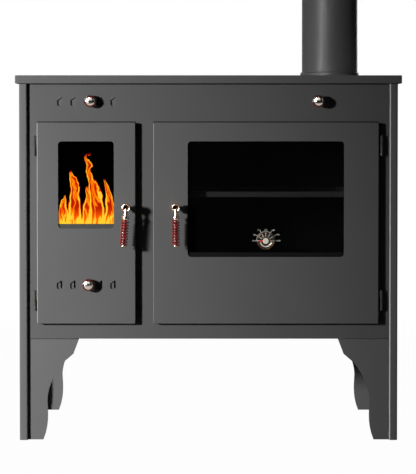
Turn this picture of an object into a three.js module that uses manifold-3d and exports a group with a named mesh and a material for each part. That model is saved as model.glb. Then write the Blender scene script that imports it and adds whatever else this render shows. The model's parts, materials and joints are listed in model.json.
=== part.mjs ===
// A wood-fired cookstove with a glazed fire door, a glazed oven door and a steel hob.
// Lengths are millimetres. X runs to the right, Y to the back and Z up. The sizes below count Y
// from the front faces of the corner posts; the finished group is centred on its own footprint.

import * as THREE from "three";
import { mergeVertices } from "three/addons/utils/BufferGeometryUtils.js";
import Module from "manifold-3d";

const wasm = await Module();
wasm.setup();

// Whole body
const bodyWidth = 834;
const bodyDepth = 490;
const bodyHeight = 787;
const legHeight = 223.5;
const sheet = 3;
const fitGap = 0.3;
const runningGap = 0.5;
const cutOverrun = 5;
const weldDistance = 0.001;

// Straight runs in a rounded edge, a fold, a cam and a bracket's sweep
const edgeSteps = 2;
const foldSteps = 4;
const camSteps = 3;
const sweepSteps = 7;

// Side panels, folded at the front and back into corner posts
const postWidth = 18;
const postSheet = 2;
const postReturn = 25;
const postRadius = 4;
const postRecess = 9;

// Leg brackets, as shares of their width and height measured from the post and the floor
const bracketWidth = 113;
const bracketShares = {
  shoulder: [0.887, 0.85],
  neck: [0.702, 0.77],
  neckPull: [0.53, 0.67],
  waistPull: [0.377, 0.52],
  waist: [0.377, 0.394],
  bulgePull: [0.385, 0.286],
  toePull: [0.425, 0.152],
  toe: [0.298, 0],
};
const bracketSetBack = 0.5;

// Hob
const hobSideOverhang = 8;
const hobOverhang = 10;
const rimHeight = 18;
const rimWidth = 40;
const rimLip = 12;
const rimCorner = 4;
const rimBevel = 1.2;
const hobPlateThickness = 6;
const hotplateFront = 205;
const ringOuterRadius = 102.5;
const lidOuterRadius = 57.5;
const ringStep = 8;
const lifterWidth = 9;
const lifterLength = 22;
const lifterDepth = 3.5;
const ringFacets = 64;

// Flue
const flueFromSide = 127;
const flueFromBack = 102;
const pipeBore = 130;
const pipeWall = 2;
const pipeLength = 250;
const collarFlangeWidth = 11;
const collarFlangeHeight = 4;
const collarWall = 3;
const collarHeight = 16;
const flueFacets = 48;

// Doors
const doorFrontStep = 8;
const doorDepth = 15;
const doorSkin = 3;
const doorFlange = 2;
const doorCorner = 3;
const doorBevel = 1.5;
const doorLift = 34.8;
const doorDrop = 85.5;
const fireDoorMargin = 21.8;
const fireDoorWidth = 216.8;
const doorSpacing = 38.9;
const ovenDoorMargin = 24.5;
const windowTopFrame = 41.5;
const windowCorner = 8;
const fireWindowFrame = { left: 46.5, right: 47.6, bottom: 210 };
const ovenWindowFrame = { left: 75.8, right: 76.5, bottom: 147.2 };
const gasketWidth = 8;
const gasketBevel = 2.4;
const openingMargin = 0.8;

// Door glass and its holders
const glassThickness = 4;
const glassMargin = 8;
const channelSheet = 1.2;
const channelCover = 10;
const channelDepth = 6;
const clipLength = 34;
const clipReach = 6;

// Hinges
const hingeGap = 6.3;
const knuckleRadius = 4;
const knuckleHeight = 22;
const hingeSplit = 1;
const pinRadius = 2;
const pinLength = 18;
const hingeWeb = 3;
const hingeInset = 51.1;
const roundFacets = 16;

// Door handles
const handleRise = 256.7;
const fireHandleInset = 19.6;
const ovenHandleInset = 50;
const handleStandoff = 32;
const handleTilt = 4 * Math.PI / 180;
const spindleRadius = 4.5;
const roseRadius = 9;
const roseHeight = 3;
const headRadius = 8.6;
const headBack = 24;
const headFront = 42;
const headDish = 2;
const neckRadius = 4.4;
const collarRadius = 7.7;
const gripStart = 26.7;
const collarLength = 5.5;
const gripCoreRadius = 3.5;
const gripWireRadius = 2.2;
const gripCoilRadius = 6.55;
const gripPitch = 6;
const gripTurns = 8.5;
const gripCapRadius = 6.7;
const gripCapLength = 4.2;
const fireCamReach = 7.6;
const ovenCamReach = 38;
const camHub = 6.2;
const camThickness = 4;

// Air sliders and their knobs
const airSlotWidth = 11.4;
const airSlotHeight = 21;
const airSlotRadius = 4.5;
const airSlotPitch = 29.4;
const slotsPerSide = 2;
const topAirDrop = 39;
const doorAirRise = 86.7;
const sliderThickness = 1.5;
const sliderBorder = 6;
const sliderTravel = 11.7;
const sliderKnobOffset = 9.3;
const doorSliderRest = -4;
const sliderRail = 3;
const sliderRailLip = 4;
const knobStemRadius = 3.5;
const knobCollarRadius = 8;
const knobCollarStart = 3;
const knobCoilStart = 5.8;
const knobCoreRadius = 7.5;
const knobCoilRadius = 11.1;
const knobWireRadius = 2.2;
const knobPitch = 5.1;
const knobTurns = 2;
const knobCapRadius = 9.7;
const knobCapHeight = 4;
const knobCapShares = [[1, 0.35], [0.8, 0.8], [0.4, 1]];

// Turns of wire: the steps of each turn and the sides of its section
const wireSteps = 8;
const wireSides = 5;

// Bypass damper
const damperOffset = 48.5;
const damperRodRadius = 4;
const damperKnobOut = 7;
const damperFlap = { width: 140, depth: 140, thickness: 2 };
const damperPort = 110;
const baffleDrop = 5;
const baffleSheet = 2;
const baffleReachLeft = 150;
const baffleReachFront = 173;
const baffleBackGap = 8;

// Firebox
const fireboxSheet = 2.5;
const fireboxMargin = 10;
const fireboxBackSpace = 102;
const fireboxHeadroom = 9.6;
const ashSpace = 126.6;
const grateFrameSheet = 4;
const brickThickness = 28;
const brickFrontGap = 12;
const brickDrop = 50.4;
const grateThickness = 12;
const grateMargin = 4;
const grateFrontGap = 30;
const grateBackGap = 41.2;
const grateBars = 9;
const grateBarShare = 0.5;
const ashPanHeight = 50;
const ashPanSheet = 1.5;
const ashPanGap = 6;
const ashPanBackGap = 52;
const ashPanGripRadius = 14;

// Oven
const ovenSheet = 2;
const ovenBackSpace = 82;
const trayHeight = 12;
const traySheet = 1.5;
const trayGap = 3;
const trayFrontGap = 24;
const trayBackGap = 34;
const trayCorner = 12;
const railLedge = 12;
const railSheet = 1.5;
const railFirstShare = 0.158;
const railSpacingShare = 0.2375;
const railLedges = 4;
const trayLedge = 2;
const railFoot = 16;

// Oven thermometer
const dialRise = 35.5;
const dialRadius = 19.7;
const dialRimWidth = 3.6;
const dialBack = 1;
const dialDepth = 4;
const dialStemRadius = 4;
const dialStemReach = 16;
const dialHubRadius = 6.8;
const dialPinRadius = 2.2;
const spiralInner = 8.2;
const spiralOuter = 13.6;
const spiralTurns = 2;
const spiralStrip = 1.1;
const spiralSteps = 20;
const spiralWidth = 1.6;
const pointerLength = 15;
const pointerWidth = 2.2;
const pointerThickness = 0.9;

// Sizes worked out from the ones above
const postInner = bodyWidth / 2 - postWidth;
const panelFace = postRecess;
const panelBack = panelFace + sheet;
const backPanelBack = bodyDepth - postRecess;
const backPanelFront = backPanelBack - sheet;
const floorTop = legHeight + sheet;
const hobWidth = bodyWidth + 2 * hobSideOverhang;
const hobTop = bodyHeight + rimHeight;
const hobFront = -hobOverhang;
const hobBack = bodyDepth + hobOverhang;
const doorFace = -doorFrontStep;
const doorBack = doorFace + doorDepth;
const doorBottom = legHeight + doorLift;
const doorTop = bodyHeight - doorDrop;
const fireDoorLeft = fireDoorMargin - postInner;
const fireDoorRight = fireDoorLeft + fireDoorWidth;
const ovenDoorLeft = fireDoorRight + doorSpacing;
const ovenDoorRight = postInner - ovenDoorMargin;
const windowTop = doorTop - windowTopFrame;
const windowIn = (doorLeft, doorRight, { left, right, bottom }) =>
  ({ left: doorLeft + left, right: doorRight - right, bottom: doorBottom + bottom });
const fireWindow = windowIn(fireDoorLeft, fireDoorRight, fireWindowFrame);
const ovenWindow = windowIn(ovenDoorLeft, ovenDoorRight, ovenWindowFrame);
const openingInset = doorFlange + fitGap + gasketWidth + openingMargin;
const openingBottom = doorBottom + openingInset;
const openingTop = doorTop - openingInset;
const fireOpening = { left: fireDoorLeft + openingInset, right: fireDoorRight - openingInset };
const ovenOpening = { left: ovenDoorLeft + openingInset, right: ovenDoorRight - openingInset };
const fireHingeX = fireDoorLeft - hingeGap;
const ovenHingeX = ovenDoorRight + hingeGap;
const hingeLowerCentre = doorBottom + hingeInset;
const hingeUpperCentre = doorTop - hingeInset;
const handleHeight = doorBottom + handleRise;
const fireHandleX = fireDoorRight - fireHandleInset;
const ovenHandleX = ovenDoorLeft + ovenHandleInset;
const fireDoorCentre = (fireDoorLeft + fireDoorRight) / 2;
const hotplateCentre = { x: fireDoorCentre, y: hotplateFront };
const flueCentre = { x: bodyWidth / 2 - flueFromSide, y: bodyDepth - flueFromBack };
const airRowX = fireDoorCentre;
const topAirHeight = bodyHeight - topAirDrop;
const doorAirHeight = doorBottom + doorAirRise;
const damperX = flueCentre.x - damperOffset;
const damperHeight = topAirHeight;
const baffleTop = damperHeight - baffleDrop;
const baffleLeft = flueCentre.x - baffleReachLeft;
const baffleFront = flueCentre.y - baffleReachFront;
const dialX = (ovenWindow.left + ovenWindow.right) / 2;
const dialHeight = ovenWindow.bottom + dialRise;
const channelFront = doorFace + doorSkin + fitGap;
const glassFront = channelFront + channelSheet + fitGap;
const glassBack = glassFront + glassThickness;
const channelBack = glassBack + fitGap + channelSheet;
const fireboxLeft = fireOpening.left - fireboxMargin - fireboxSheet;
const fireboxRight = fireOpening.right + fireboxMargin + fireboxSheet;
const fireboxDepth = bodyDepth - fireboxBackSpace;
const fireboxBack = panelBack + fireboxDepth;
const fireboxTop = openingTop + fireboxHeadroom;
const grateLevel = openingBottom + ashSpace;
const brickTop = openingTop - brickDrop;
const brickLeft = fireboxLeft + fireboxSheet + fitGap;
const brickRight = fireboxRight - fireboxSheet - fitGap;
const brickBack = fireboxBack - fireboxSheet - fitGap;
const grateLeft = brickLeft + brickThickness + grateMargin;
const grateRight = brickRight - brickThickness - grateMargin;
const grateFront = panelBack + grateFrontGap;
const grateBack = brickBack - brickThickness - grateBackGap;
const ashPanDepth = fireboxDepth - ashPanGap - ashPanBackGap;
const ovenDepth = bodyDepth - ovenBackSpace;
const trayDepth = ovenDepth - trayFrontGap - trayBackGap;
const openingHeight = openingTop - openingBottom;
const railSpacing = openingHeight * railSpacingShare;
const lowestLedge = openingBottom + openingHeight * railFirstShare;
const trayLevel = lowestLedge + trayLedge * railSpacing;
const frontReach = handleStandoff + headFront - headBack;
const footprintCentre = (hobBack - frontReach) / 2;

function finish(colour, roughness, metalness) {
  return new THREE.MeshStandardMaterial({ color: colour, roughness, metalness, flatShading: true });
}

const paint = finish(0x4b4b4d, 0.62, 0.2);
const castIron = finish(0x2e2e30, 0.7, 0.4);
const darkSteel = finish(0x3a3a3c, 0.55, 0.6);
const nickel = finish(0xc9bfae, 0.2, 1);
const redWire = finish(0x7c1d14, 0.25, 0.8);
const bronze = finish(0x7a5a3a, 0.4, 0.9);
const blackGlass = finish(0x08080a, 0.06, 0);
const fireclay = finish(0xb59a76, 0.95, 0);
const ropeSeal = finish(0x2b2a29, 0.95, 0);
const redPaint = finish(0xb3261c, 0.5, 0.1);

// Turns a three.js shape into a solid. Only the positions are kept, so that neighbouring faces
// share their corners; empty triangles go, and the rest are turned to face outwards.
function solidOf(geometry) {
  const source = geometry.index ? geometry.toNonIndexed() : geometry;
  const bare = new THREE.BufferGeometry();
  bare.setAttribute("position", source.getAttribute("position"));
  const welded = mergeVertices(bare, weldDistance);
  const places = Float32Array.from(welded.getAttribute("position").array);
  const corners = welded.index.array;
  const faces = [];
  let volume = 0;
  const [a, b, c] = [new THREE.Vector3(), new THREE.Vector3(), new THREE.Vector3()];
  for (let i = 0; i < corners.length; i += 3) {
    const [p, q, r] = [corners[i], corners[i + 1], corners[i + 2]];
    if (p === q || q === r || r === p) continue;
    faces.push([p, q, r]);
    a.fromArray(places, 3 * p);
    b.fromArray(places, 3 * q);
    c.fromArray(places, 3 * r);
    volume += a.dot(b.cross(c));
  }
  const outward = volume < 0 ? faces.map(([p, q, r]) => [p, r, q]) : faces;
  const triVerts = Uint32Array.from(outward.flat());
  return new wasm.Manifold(new wasm.Mesh({ numProp: 3, vertProperties: places, triVerts }));
}

function meshOf(name, solid, material) {
  const { vertProperties, triVerts } = solid.getMesh();
  const geometry = new THREE.BufferGeometry();
  geometry.setAttribute("position", new THREE.BufferAttribute(vertProperties, 3));
  geometry.setIndex(new THREE.BufferAttribute(triVerts, 1));
  const mesh = new THREE.Mesh(geometry, material);
  mesh.name = name;
  return mesh;
}

const joined = (first, ...others) => others.reduce((sum, next) => sum.add(next), first);
const cut = (first, ...others) => others.reduce((rest, next) => rest.subtract(next), first);

function block(x0, x1, y0, y1, z0, z1) {
  const geometry = new THREE.BoxGeometry(x1 - x0, y1 - y0, z1 - z0);
  geometry.translate((x0 + x1) / 2, (y0 + y1) / 2, (z0 + z1) / 2);
  return solidOf(geometry);
}

function roundedRect(left, right, bottom, top, radius) {
  const quarter = Math.PI / 2;
  const shape = new THREE.Shape();
  shape.absarc(right - radius, bottom + radius, radius, -quarter, 0);
  shape.absarc(right - radius, top - radius, radius, 0, quarter);
  shape.absarc(left + radius, top - radius, radius, quarter, 2 * quarter);
  shape.absarc(left + radius, bottom + radius, radius, 2 * quarter, 3 * quarter);
  return shape;
}

// A shape drawn in X and Z, extruded from yFront to yBack. A bevel rounds both ends inwards.
function upright(shape, yFront, yBack, bevel = 0) {
  const geometry = new THREE.ExtrudeGeometry(shape, {
    depth: yBack - yFront - 2 * bevel,
    curveSegments: edgeSteps,
    bevelEnabled: bevel > 0,
    bevelThickness: bevel,
    bevelSize: bevel,
    bevelOffset: -bevel,
    bevelSegments: edgeSteps,
  });
  const stand = new THREE.Matrix4().set(1, 0, 0, 0, 0, 0, -1, yBack - bevel, 0, 1, 0, 0, 0, 0, 0, 1);
  geometry.applyMatrix4(stand);
  return solidOf(geometry);
}

// A shape drawn in Y and Z, extruded from x0 to x1.
function across(shape, x0, x1) {
  const geometry = new THREE.ExtrudeGeometry(shape, { depth: x1 - x0, bevelEnabled: false });
  geometry.applyMatrix4(new THREE.Matrix4().set(0, 0, 1, x0, 1, 0, 0, 0, 0, 1, 0, 0, 0, 0, 0, 1));
  return solidOf(geometry);
}

// A shape drawn in X and Y, extruded from z0 to z1. A bevel rounds both ends inwards.
function flat(shape, z0, z1, bevel = 0) {
  const geometry = new THREE.ExtrudeGeometry(shape, {
    depth: z1 - z0 - 2 * bevel,
    curveSegments: edgeSteps,
    bevelEnabled: bevel > 0,
    bevelThickness: bevel,
    bevelSize: bevel,
    bevelOffset: -bevel,
    bevelSegments: edgeSteps,
  });
  geometry.translate(0, 0, z0 + bevel);
  return solidOf(geometry);
}

// A profile of radius and height, turned round the Z axis or, laid over, round the Y axis.
function turned(profile, facets, alongY = false) {
  const points = profile.map(([radius, height]) => new THREE.Vector2(radius, height));
  const geometry = new THREE.LatheGeometry(points, facets);
  const stand = new THREE.Matrix4().set(1, 0, 0, 0, 0, 0, -1, 0, 0, 1, 0, 0, 0, 0, 0, 1);
  if (!alongY) geometry.applyMatrix4(stand);
  return solidOf(geometry);
}

const roundBar = (radius, from, to, facets = roundFacets) =>
  turned([[0, from], [radius, from], [radius, to], [0, to]], facets);
const roundBarAlongY = (radius, from, to, facets = roundFacets) =>
  turned([[0, from], [radius, from], [radius, to], [0, to]], facets, true);

function ringPipe(inner, outer, from, to, facets) {
  return turned([[inner, from], [outer, from], [outer, to], [inner, to], [inner, from]], facets);
}

// The wire's centre line: radius r, angle 2 pi turns t, climbing pitch times turns along -Z.
class Helix extends THREE.Curve {
  constructor(radius, pitch, turns) {
    super();
    Object.assign(this, { radius, pitch, turns });
    this.arcLengthDivisions = 4 * wireSteps * Math.ceil(turns);
  }

  getPoint(share, target = new THREE.Vector3()) {
    const angle = 2 * Math.PI * this.turns * share;
    const height = -this.pitch * this.turns * share;
    return target.set(this.radius * Math.cos(angle), this.radius * Math.sin(angle), height);
  }
}

// One unbroken wire, its section a polygon, wound down from the origin along -Z.
function coil(name, radius, pitch, turns, wireRadius) {
  const section = new THREE.Shape();
  for (let side = 0; side < wireSides; side++) {
    const angle = 2 * Math.PI * side / wireSides;
    const corner = [wireRadius * Math.cos(angle), wireRadius * Math.sin(angle)];
    if (side === 0) section.moveTo(...corner);
    else section.lineTo(...corner);
  }
  const path = new Helix(radius, pitch, turns);
  const steps = Math.round(wireSteps * turns);
  const points = path.getSpacedPoints(steps);
  let nearest = Infinity;
  for (let i = 0; i < points.length; i++) {
    for (let j = i + wireSteps / 2; j < points.length; j++) {
      nearest = Math.min(nearest, points[i].distanceTo(points[j]) - 2 * wireRadius);
    }
  }
  console.log(`${name}: least gap between turns ${nearest.toFixed(2)} mm`);
  return solidOf(new THREE.ExtrudeGeometry(section, { steps, extrudePath: path, bevelEnabled: false }));
}

// Lays a solid that was made along -Z over, so that it runs along -Y.
const laidForward = (solid) => solid.rotate([-90, 0, 0]);

// The inner edge of a leg bracket: two straight cuts, a hollow sweep and a swelling foot.
function bracketEdge(path, place) {
  const at = (key) => place(...bracketShares[key]);
  path.lineTo(...at("shoulder"));
  path.lineTo(...at("neck"));
  path.bezierCurveTo(...at("neckPull"), ...at("waistPull"), ...at("waist"));
  path.bezierCurveTo(...at("bulgePull"), ...at("toePull"), ...at("toe"));
}

// side is -1 on the left and 1 on the right.
function legBracket(side, yFront) {
  const place = (inward, up) => [side * (postInner - bracketWidth * inward), legHeight * up];
  const shape = new THREE.Shape();
  shape.moveTo(...place(0, 0));
  shape.lineTo(...place(0, 1));
  shape.lineTo(...place(1, 1));
  bracketEdge(shape, place);
  return upright(new THREE.Shape(shape.getPoints(sweepSteps)), yFront, yFront + sheet);
}

// A tall sheet wall whose front and back edges fold round into corner posts. The foot is cut
// away between two legs with the brackets' outline.
function sidePanel(side) {
  const outer = bodyWidth / 2;
  const foldRadius = postRadius - postSheet;
  const wallIn = outer - postSheet;
  const corner = (x, y, radius, from, to) => {
    const turn = new THREE.EllipseCurve(x, y, radius, radius, from, to, false, 0);
    return turn.getPoints(foldSteps).map((point) => [point.x, point.y]);
  };
  const quarter = Math.PI / 2;
  const inner = postInner;
  const half = bodyDepth / 2;
  const outside = [
    ...corner(inner + postRadius, -half + postRadius, postRadius, 2 * quarter, 3 * quarter),
    ...corner(outer - postRadius, -half + postRadius, postRadius, 3 * quarter, 4 * quarter),
  ];
  const inside = [
    ...corner(wallIn - foldRadius, -half + postRadius, foldRadius, 3 * quarter, 4 * quarter).reverse(),
    ...corner(inner + postRadius, -half + postRadius, foldRadius, 2 * quarter, 3 * quarter).reverse(),
  ];
  const frontLoop = [[inner, -half + postReturn], ...outside];
  const backLoop = frontLoop.map(([x, y]) => [x, -y]).reverse();
  const frontInside = [...inside, [inner + postSheet, -half + postReturn]];
  const backInside = frontInside.map(([x, y]) => [x, -y]).reverse();
  const outline = [...frontLoop, ...backLoop, ...backInside, ...frontInside];
  const points = outline.map(([x, y]) => new THREE.Vector2(side * x, y + half));
  const wall = flat(new THREE.Shape(points), 0, bodyHeight);

  const arch = new THREE.Shape();
  const nearPlace = (along, up) => [postWidth + bracketWidth * along, legHeight * up];
  const farPlace = (along, up) => [bodyDepth - postWidth - bracketWidth * along, legHeight * up];
  arch.moveTo(...nearPlace(1, 1));
  bracketEdge(arch, nearPlace);
  const near = arch.getPoints(sweepSteps);
  const far = near.map((point) => new THREE.Vector2(bodyDepth - point.x, point.y)).reverse();
  const toe = bracketShares.toe[0];
  const below = [
    new THREE.Vector2(nearPlace(toe, 0)[0], -cutOverrun),
    new THREE.Vector2(farPlace(toe, 0)[0], -cutOverrun),
  ];
  const archShape = new THREE.Shape([...near, ...below, ...far]);
  const reach = [side * (wallIn - cutOverrun), side * (outer + cutOverrun)];
  return cut(wall, across(archShape, Math.min(...reach), Math.max(...reach)));
}

// The row of air slots: a slot at every place but the middle one, where the knob's stem runs.
function airSlots(shift, yFront, yBack, height) {
  const halfWidth = airSlotWidth / 2;
  const halfHeight = airSlotHeight / 2;
  const slots = [];
  for (let place = -slotsPerSide; place <= slotsPerSide; place++) {
    if (place === 0) continue;
    const x = airRowX + place * airSlotPitch + shift;
    const slot = roundedRect(x - halfWidth, x + halfWidth, height - halfHeight, height + halfHeight,
      airSlotRadius);
    slots.push(upright(slot, yFront - cutOverrun, yBack + cutOverrun));
  }
  return slots;
}

function stemSlot(yFront, yBack, height) {
  const reach = knobStemRadius + runningGap;
  const closed = airRowX + sliderKnobOffset;
  const slot = roundedRect(closed - sliderTravel - reach, closed + reach, height - reach, height + reach,
    knobStemRadius);
  return upright(slot, yFront - cutOverrun, yBack + cutOverrun);
}

const sliderHalfHeight = airSlotHeight / 2 + sliderBorder;
const rowHalfLength = slotsPerSide * airSlotPitch + airSlotWidth / 2 + sliderBorder;

// Two angle rails on the back of a plate that hold the slider against it.
function sliderRails(yPlate, height) {
  const rails = [];
  for (const side of [-1, 1]) {
    const inner = height + side * (sliderHalfHeight + runningGap);
    const outer = inner + side * sliderRail;
    const lip = inner - side * sliderRailLip;
    const lipFront = yPlate + fitGap + sliderThickness + fitGap;
    const lipBack = lipFront + sliderThickness;
    const left = airRowX - rowHalfLength;
    const right = airRowX + rowHalfLength;
    const root = yPlate - sheet / 2;
    rails.push(block(left, right, root, lipBack, Math.min(inner, outer), Math.max(inner, outer)));
    rails.push(block(left, right, lipFront, lipBack, Math.min(lip, outer), Math.max(lip, outer)));
  }
  return rails;
}

// The sliding plate: closed, its slots stand one slot width to the right of the fixed ones.
function airSlider(yPlate, height, shift) {
  const front = yPlate + fitGap;
  const back = front + sliderThickness;
  const left = airRowX - rowHalfLength + shift;
  const right = airRowX + rowHalfLength + sliderTravel + shift;
  const plate = block(left, right, front, back, height - sliderHalfHeight, height + sliderHalfHeight);
  return cut(plate, ...airSlots(sliderTravel + shift, front, back, height));
}

// Stem, collar, core and domed end cap of a knob, turned round Y. yFoot is the stem's inner end.
function knobCore(yFace, yFoot, out = 0) {
  const coilEnd = knobCoilStart + knobPitch * knobTurns + 2 * knobWireRadius;
  const at = (proud) => yFace - proud - out;
  const capBack = coilEnd + fitGap;
  return turned([
    [0, yFoot],
    [knobStemRadius, yFoot],
    [knobStemRadius, at(knobCollarStart)],
    [knobCollarRadius, at(knobCollarStart)],
    [knobCollarRadius, at(knobCoilStart - fitGap)],
    [knobCoreRadius, at(knobCoilStart - fitGap)],
    [knobCoreRadius, at(capBack)],
    [knobCapRadius, at(capBack)],
    ...knobCapShares.map(([wide, high]) => [knobCapRadius * wide, at(capBack + knobCapHeight * high)]),
    [0, at(capBack + knobCapHeight)],
  ], roundFacets, true);
}

function knobCoil(name, x, yFace, height, out = 0) {
  const wire = laidForward(coil(name, knobCoilRadius, knobPitch, knobTurns, knobWireRadius));
  return wire.translate([x, yFace - knobCoilStart - knobWireRadius - out, height]);
}

function frontPanel() {
  const plate = block(-postInner, postInner, panelFace, panelBack, legHeight, bodyHeight);
  const opening = ({ left, right }) =>
    block(left, right, panelFace - cutOverrun, panelBack + cutOverrun, openingBottom, openingTop);
  const holeRadius = damperRodRadius + runningGap;
  const damperHole = roundBarAlongY(holeRadius, panelFace - cutOverrun, panelBack + cutOverrun);
  const cuts = [
    opening(fireOpening),
    opening(ovenOpening),
    damperHole.translate([damperX, 0, damperHeight]),
    ...airSlots(0, panelFace, panelBack, topAirHeight),
    stemSlot(panelFace, panelBack, topAirHeight),
  ];
  return cut(joined(plate, ...sliderRails(panelBack, topAirHeight)), ...cuts);
}

function hobRim() {
  const outer = roundedRect(-hobWidth / 2, hobWidth / 2, hobFront, hobBack, rimCorner);
  const body = flat(outer, bodyHeight, hobTop, rimBevel);
  const wellX = hobWidth / 2 - rimWidth;
  const well = block(-wellX, wellX, hobFront + rimWidth, hobBack - rimWidth,
    bodyHeight - cutOverrun, hobTop + cutOverrun);
  const seatX = wellX + rimLip;
  const seatFront = hobFront + rimWidth - rimLip;
  const seatBack = hobBack - rimWidth + rimLip;
  const seat = block(-seatX, seatX, seatFront, seatBack, hobTop - hobPlateThickness, hobTop + cutOverrun);
  return cut(body, well, seat);
}

const stepped = (radius) => [
  [0, hobTop + cutOverrun],
  [radius + runningGap, hobTop + cutOverrun],
  [radius + runningGap, hobTop - hobPlateThickness / 2],
  [radius - ringStep + runningGap, hobTop - hobPlateThickness / 2],
  [radius - ringStep + runningGap, hobTop - hobPlateThickness - cutOverrun],
  [0, hobTop - hobPlateThickness - cutOverrun],
];

const steppedDisc = (radius) => turned([
  [0, hobTop],
  [radius, hobTop],
  [radius, hobTop - hobPlateThickness / 2],
  [radius - ringStep, hobTop - hobPlateThickness / 2],
  [radius - ringStep, hobTop - hobPlateThickness],
  [0, hobTop - hobPlateThickness],
], ringFacets);

function hobPlate() {
  const x = hobWidth / 2 - rimWidth + rimLip - runningGap;
  const front = hobFront + rimWidth - rimLip + runningGap;
  const back = hobBack - rimWidth + rimLip - runningGap;
  const plate = block(-x, x, front, back, hobTop - hobPlateThickness, hobTop);
  const { x: ringX, y: ringY } = hotplateCentre;
  const fireHole = turned(stepped(ringOuterRadius), ringFacets).translate([ringX, ringY, 0]);
  const flueHole = roundBar(pipeBore / 2, bodyHeight, hobTop + cutOverrun, flueFacets);
  return cut(plate, fireHole, flueHole.translate([flueCentre.x, flueCentre.y, 0]));
}

function hotplateRing() {
  return cut(steppedDisc(ringOuterRadius), turned(stepped(lidOuterRadius), ringFacets));
}

function hotplateLid() {
  const half = lifterWidth / 2;
  const dish = roundedRect(-lifterLength / 2, lifterLength / 2, -half, half, half - weldDistance);
  const lifter = flat(dish, hobTop - lifterDepth, hobTop + cutOverrun);
  return cut(steppedDisc(lidOuterRadius), lifter);
}

// Flange, spigot into the plate, inner ledge for the pipe and a plain socket round it.
function flueCollar() {
  const ledge = pipeBore / 2 - collarWall;
  const socket = pipeBore / 2 + pipeWall + fitGap;
  const neck = socket + collarWall;
  const spigot = pipeBore / 2 - fitGap;
  const flangeTop = hobTop + collarFlangeHeight;
  return turned([
    [ledge, hobTop - hobPlateThickness],
    [spigot, hobTop - hobPlateThickness],
    [spigot, hobTop],
    [neck + collarFlangeWidth, hobTop],
    [neck + collarFlangeWidth, flangeTop],
    [neck, flangeTop],
    [neck, hobTop + collarHeight - collarWall / 2],
    [socket + collarWall / 2, hobTop + collarHeight],
    [socket, hobTop + collarHeight],
    [socket, flangeTop],
    [ledge, flangeTop],
    [ledge, hobTop - hobPlateThickness],
  ], flueFacets).translate([flueCentre.x, flueCentre.y, 0]);
}

function fluePipe() {
  const foot = hobTop + collarFlangeHeight;
  const wall = ringPipe(pipeBore / 2, pipeBore / 2 + pipeWall, foot, foot + pipeLength, flueFacets);
  return wall.translate([flueCentre.x, flueCentre.y, 0]);
}

// A tray of folded sheet whose skin is towards the front; its open side faces the body.
function doorPanel(left, right, { left: windowLeft, right: windowRight, bottom }, handleX) {
  const outline = roundedRect(left, right, doorBottom, doorTop, doorCorner);
  const shell = upright(outline, doorFace, doorBack + 2 * doorBevel, doorBevel);
  const behind = block(left - cutOverrun, right + cutOverrun, doorBack, doorBack + cutOverrun,
    doorBottom - cutOverrun, doorTop + cutOverrun);
  const hollow = block(left + doorFlange, right - doorFlange, doorFace + doorSkin, doorBack + cutOverrun,
    doorBottom + doorFlange, doorTop - doorFlange);
  const pane = roundedRect(windowLeft, windowRight, bottom, windowTop, windowCorner);
  const window = upright(pane, doorFace - cutOverrun, doorFace + doorSkin + cutOverrun);
  const boreRadius = spindleRadius + runningGap;
  const bore = roundBarAlongY(boreRadius, doorFace - cutOverrun, doorFace + doorSkin + cutOverrun);
  return cut(shell, behind, hollow, window, bore.translate([handleX, 0, handleHeight]));
}

function fireDoorPanel() {
  const skinBack = doorFace + doorSkin;
  const panel = doorPanel(fireDoorLeft, fireDoorRight, fireWindow, fireHandleX);
  const rails = sliderRails(skinBack, doorAirHeight);
  const slots = airSlots(0, doorFace, skinBack, doorAirHeight);
  return cut(joined(panel, ...rails), ...slots, stemSlot(doorFace, skinBack, doorAirHeight));
}

function doorGasket(left, right) {
  const inset = doorFlange + fitGap;
  const ring = (edge) =>
    roundedRect(left + edge, right - edge, doorBottom + edge, doorTop - edge, gasketWidth);
  const shape = ring(inset);
  shape.holes.push(ring(inset + gasketWidth));
  return upright(shape, doorFace + doorSkin + fitGap, panelFace - fitGap, gasketBevel);
}

function doorGlass({ left, right, bottom }, hole = null) {
  const pane = block(left - glassMargin, right + glassMargin, glassFront, glassBack,
    bottom - channelDepth, windowTop + channelDepth);
  return hole ? cut(pane, hole) : pane;
}

// A gutter under the pane: its front lip shows above the window's lower edge.
function glassChannel({ left, right, bottom }) {
  const floor = bottom - channelDepth - fitGap;
  const x0 = left - glassMargin;
  const x1 = right + glassMargin;
  const outer = block(x0, x1, channelFront, channelBack, floor - channelSheet, bottom + channelCover);
  const inner = block(x0 - cutOverrun, x1 + cutOverrun, glassFront - fitGap, glassBack + fitGap, floor,
    bottom + channelCover + cutOverrun);
  return cut(outer, inner);
}

// An angle over the pane's upper edge, behind the skin of the door.
function glassClip({ left, right }) {
  const middle = (left + right) / 2;
  const top = windowTop + channelDepth + fitGap;
  const x0 = middle - clipLength;
  const x1 = middle + clipLength;
  const cap = block(x0, x1, channelFront, channelBack, top, top + channelSheet);
  const tongue = block(x0, x1, glassBack + fitGap, channelBack, top - clipReach, top + channelSheet);
  return joined(cap, tongue);
}

// The fixed half of a hinge: lower knuckle, a web back to the front panel, and the pin.
function hingePin(x, centre) {
  const foot = centre - knuckleHeight - hingeSplit / 2;
  const split = centre - hingeSplit / 2;
  const knuckle = roundBar(knuckleRadius, foot, split).translate([x, 0, 0]);
  const web = block(x - hingeWeb / 2, x + hingeWeb / 2, 0, panelFace, foot, split);
  const pin = roundBar(pinRadius, foot, split + pinLength).translate([x, 0, 0]);
  return joined(knuckle, web, pin);
}

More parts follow.
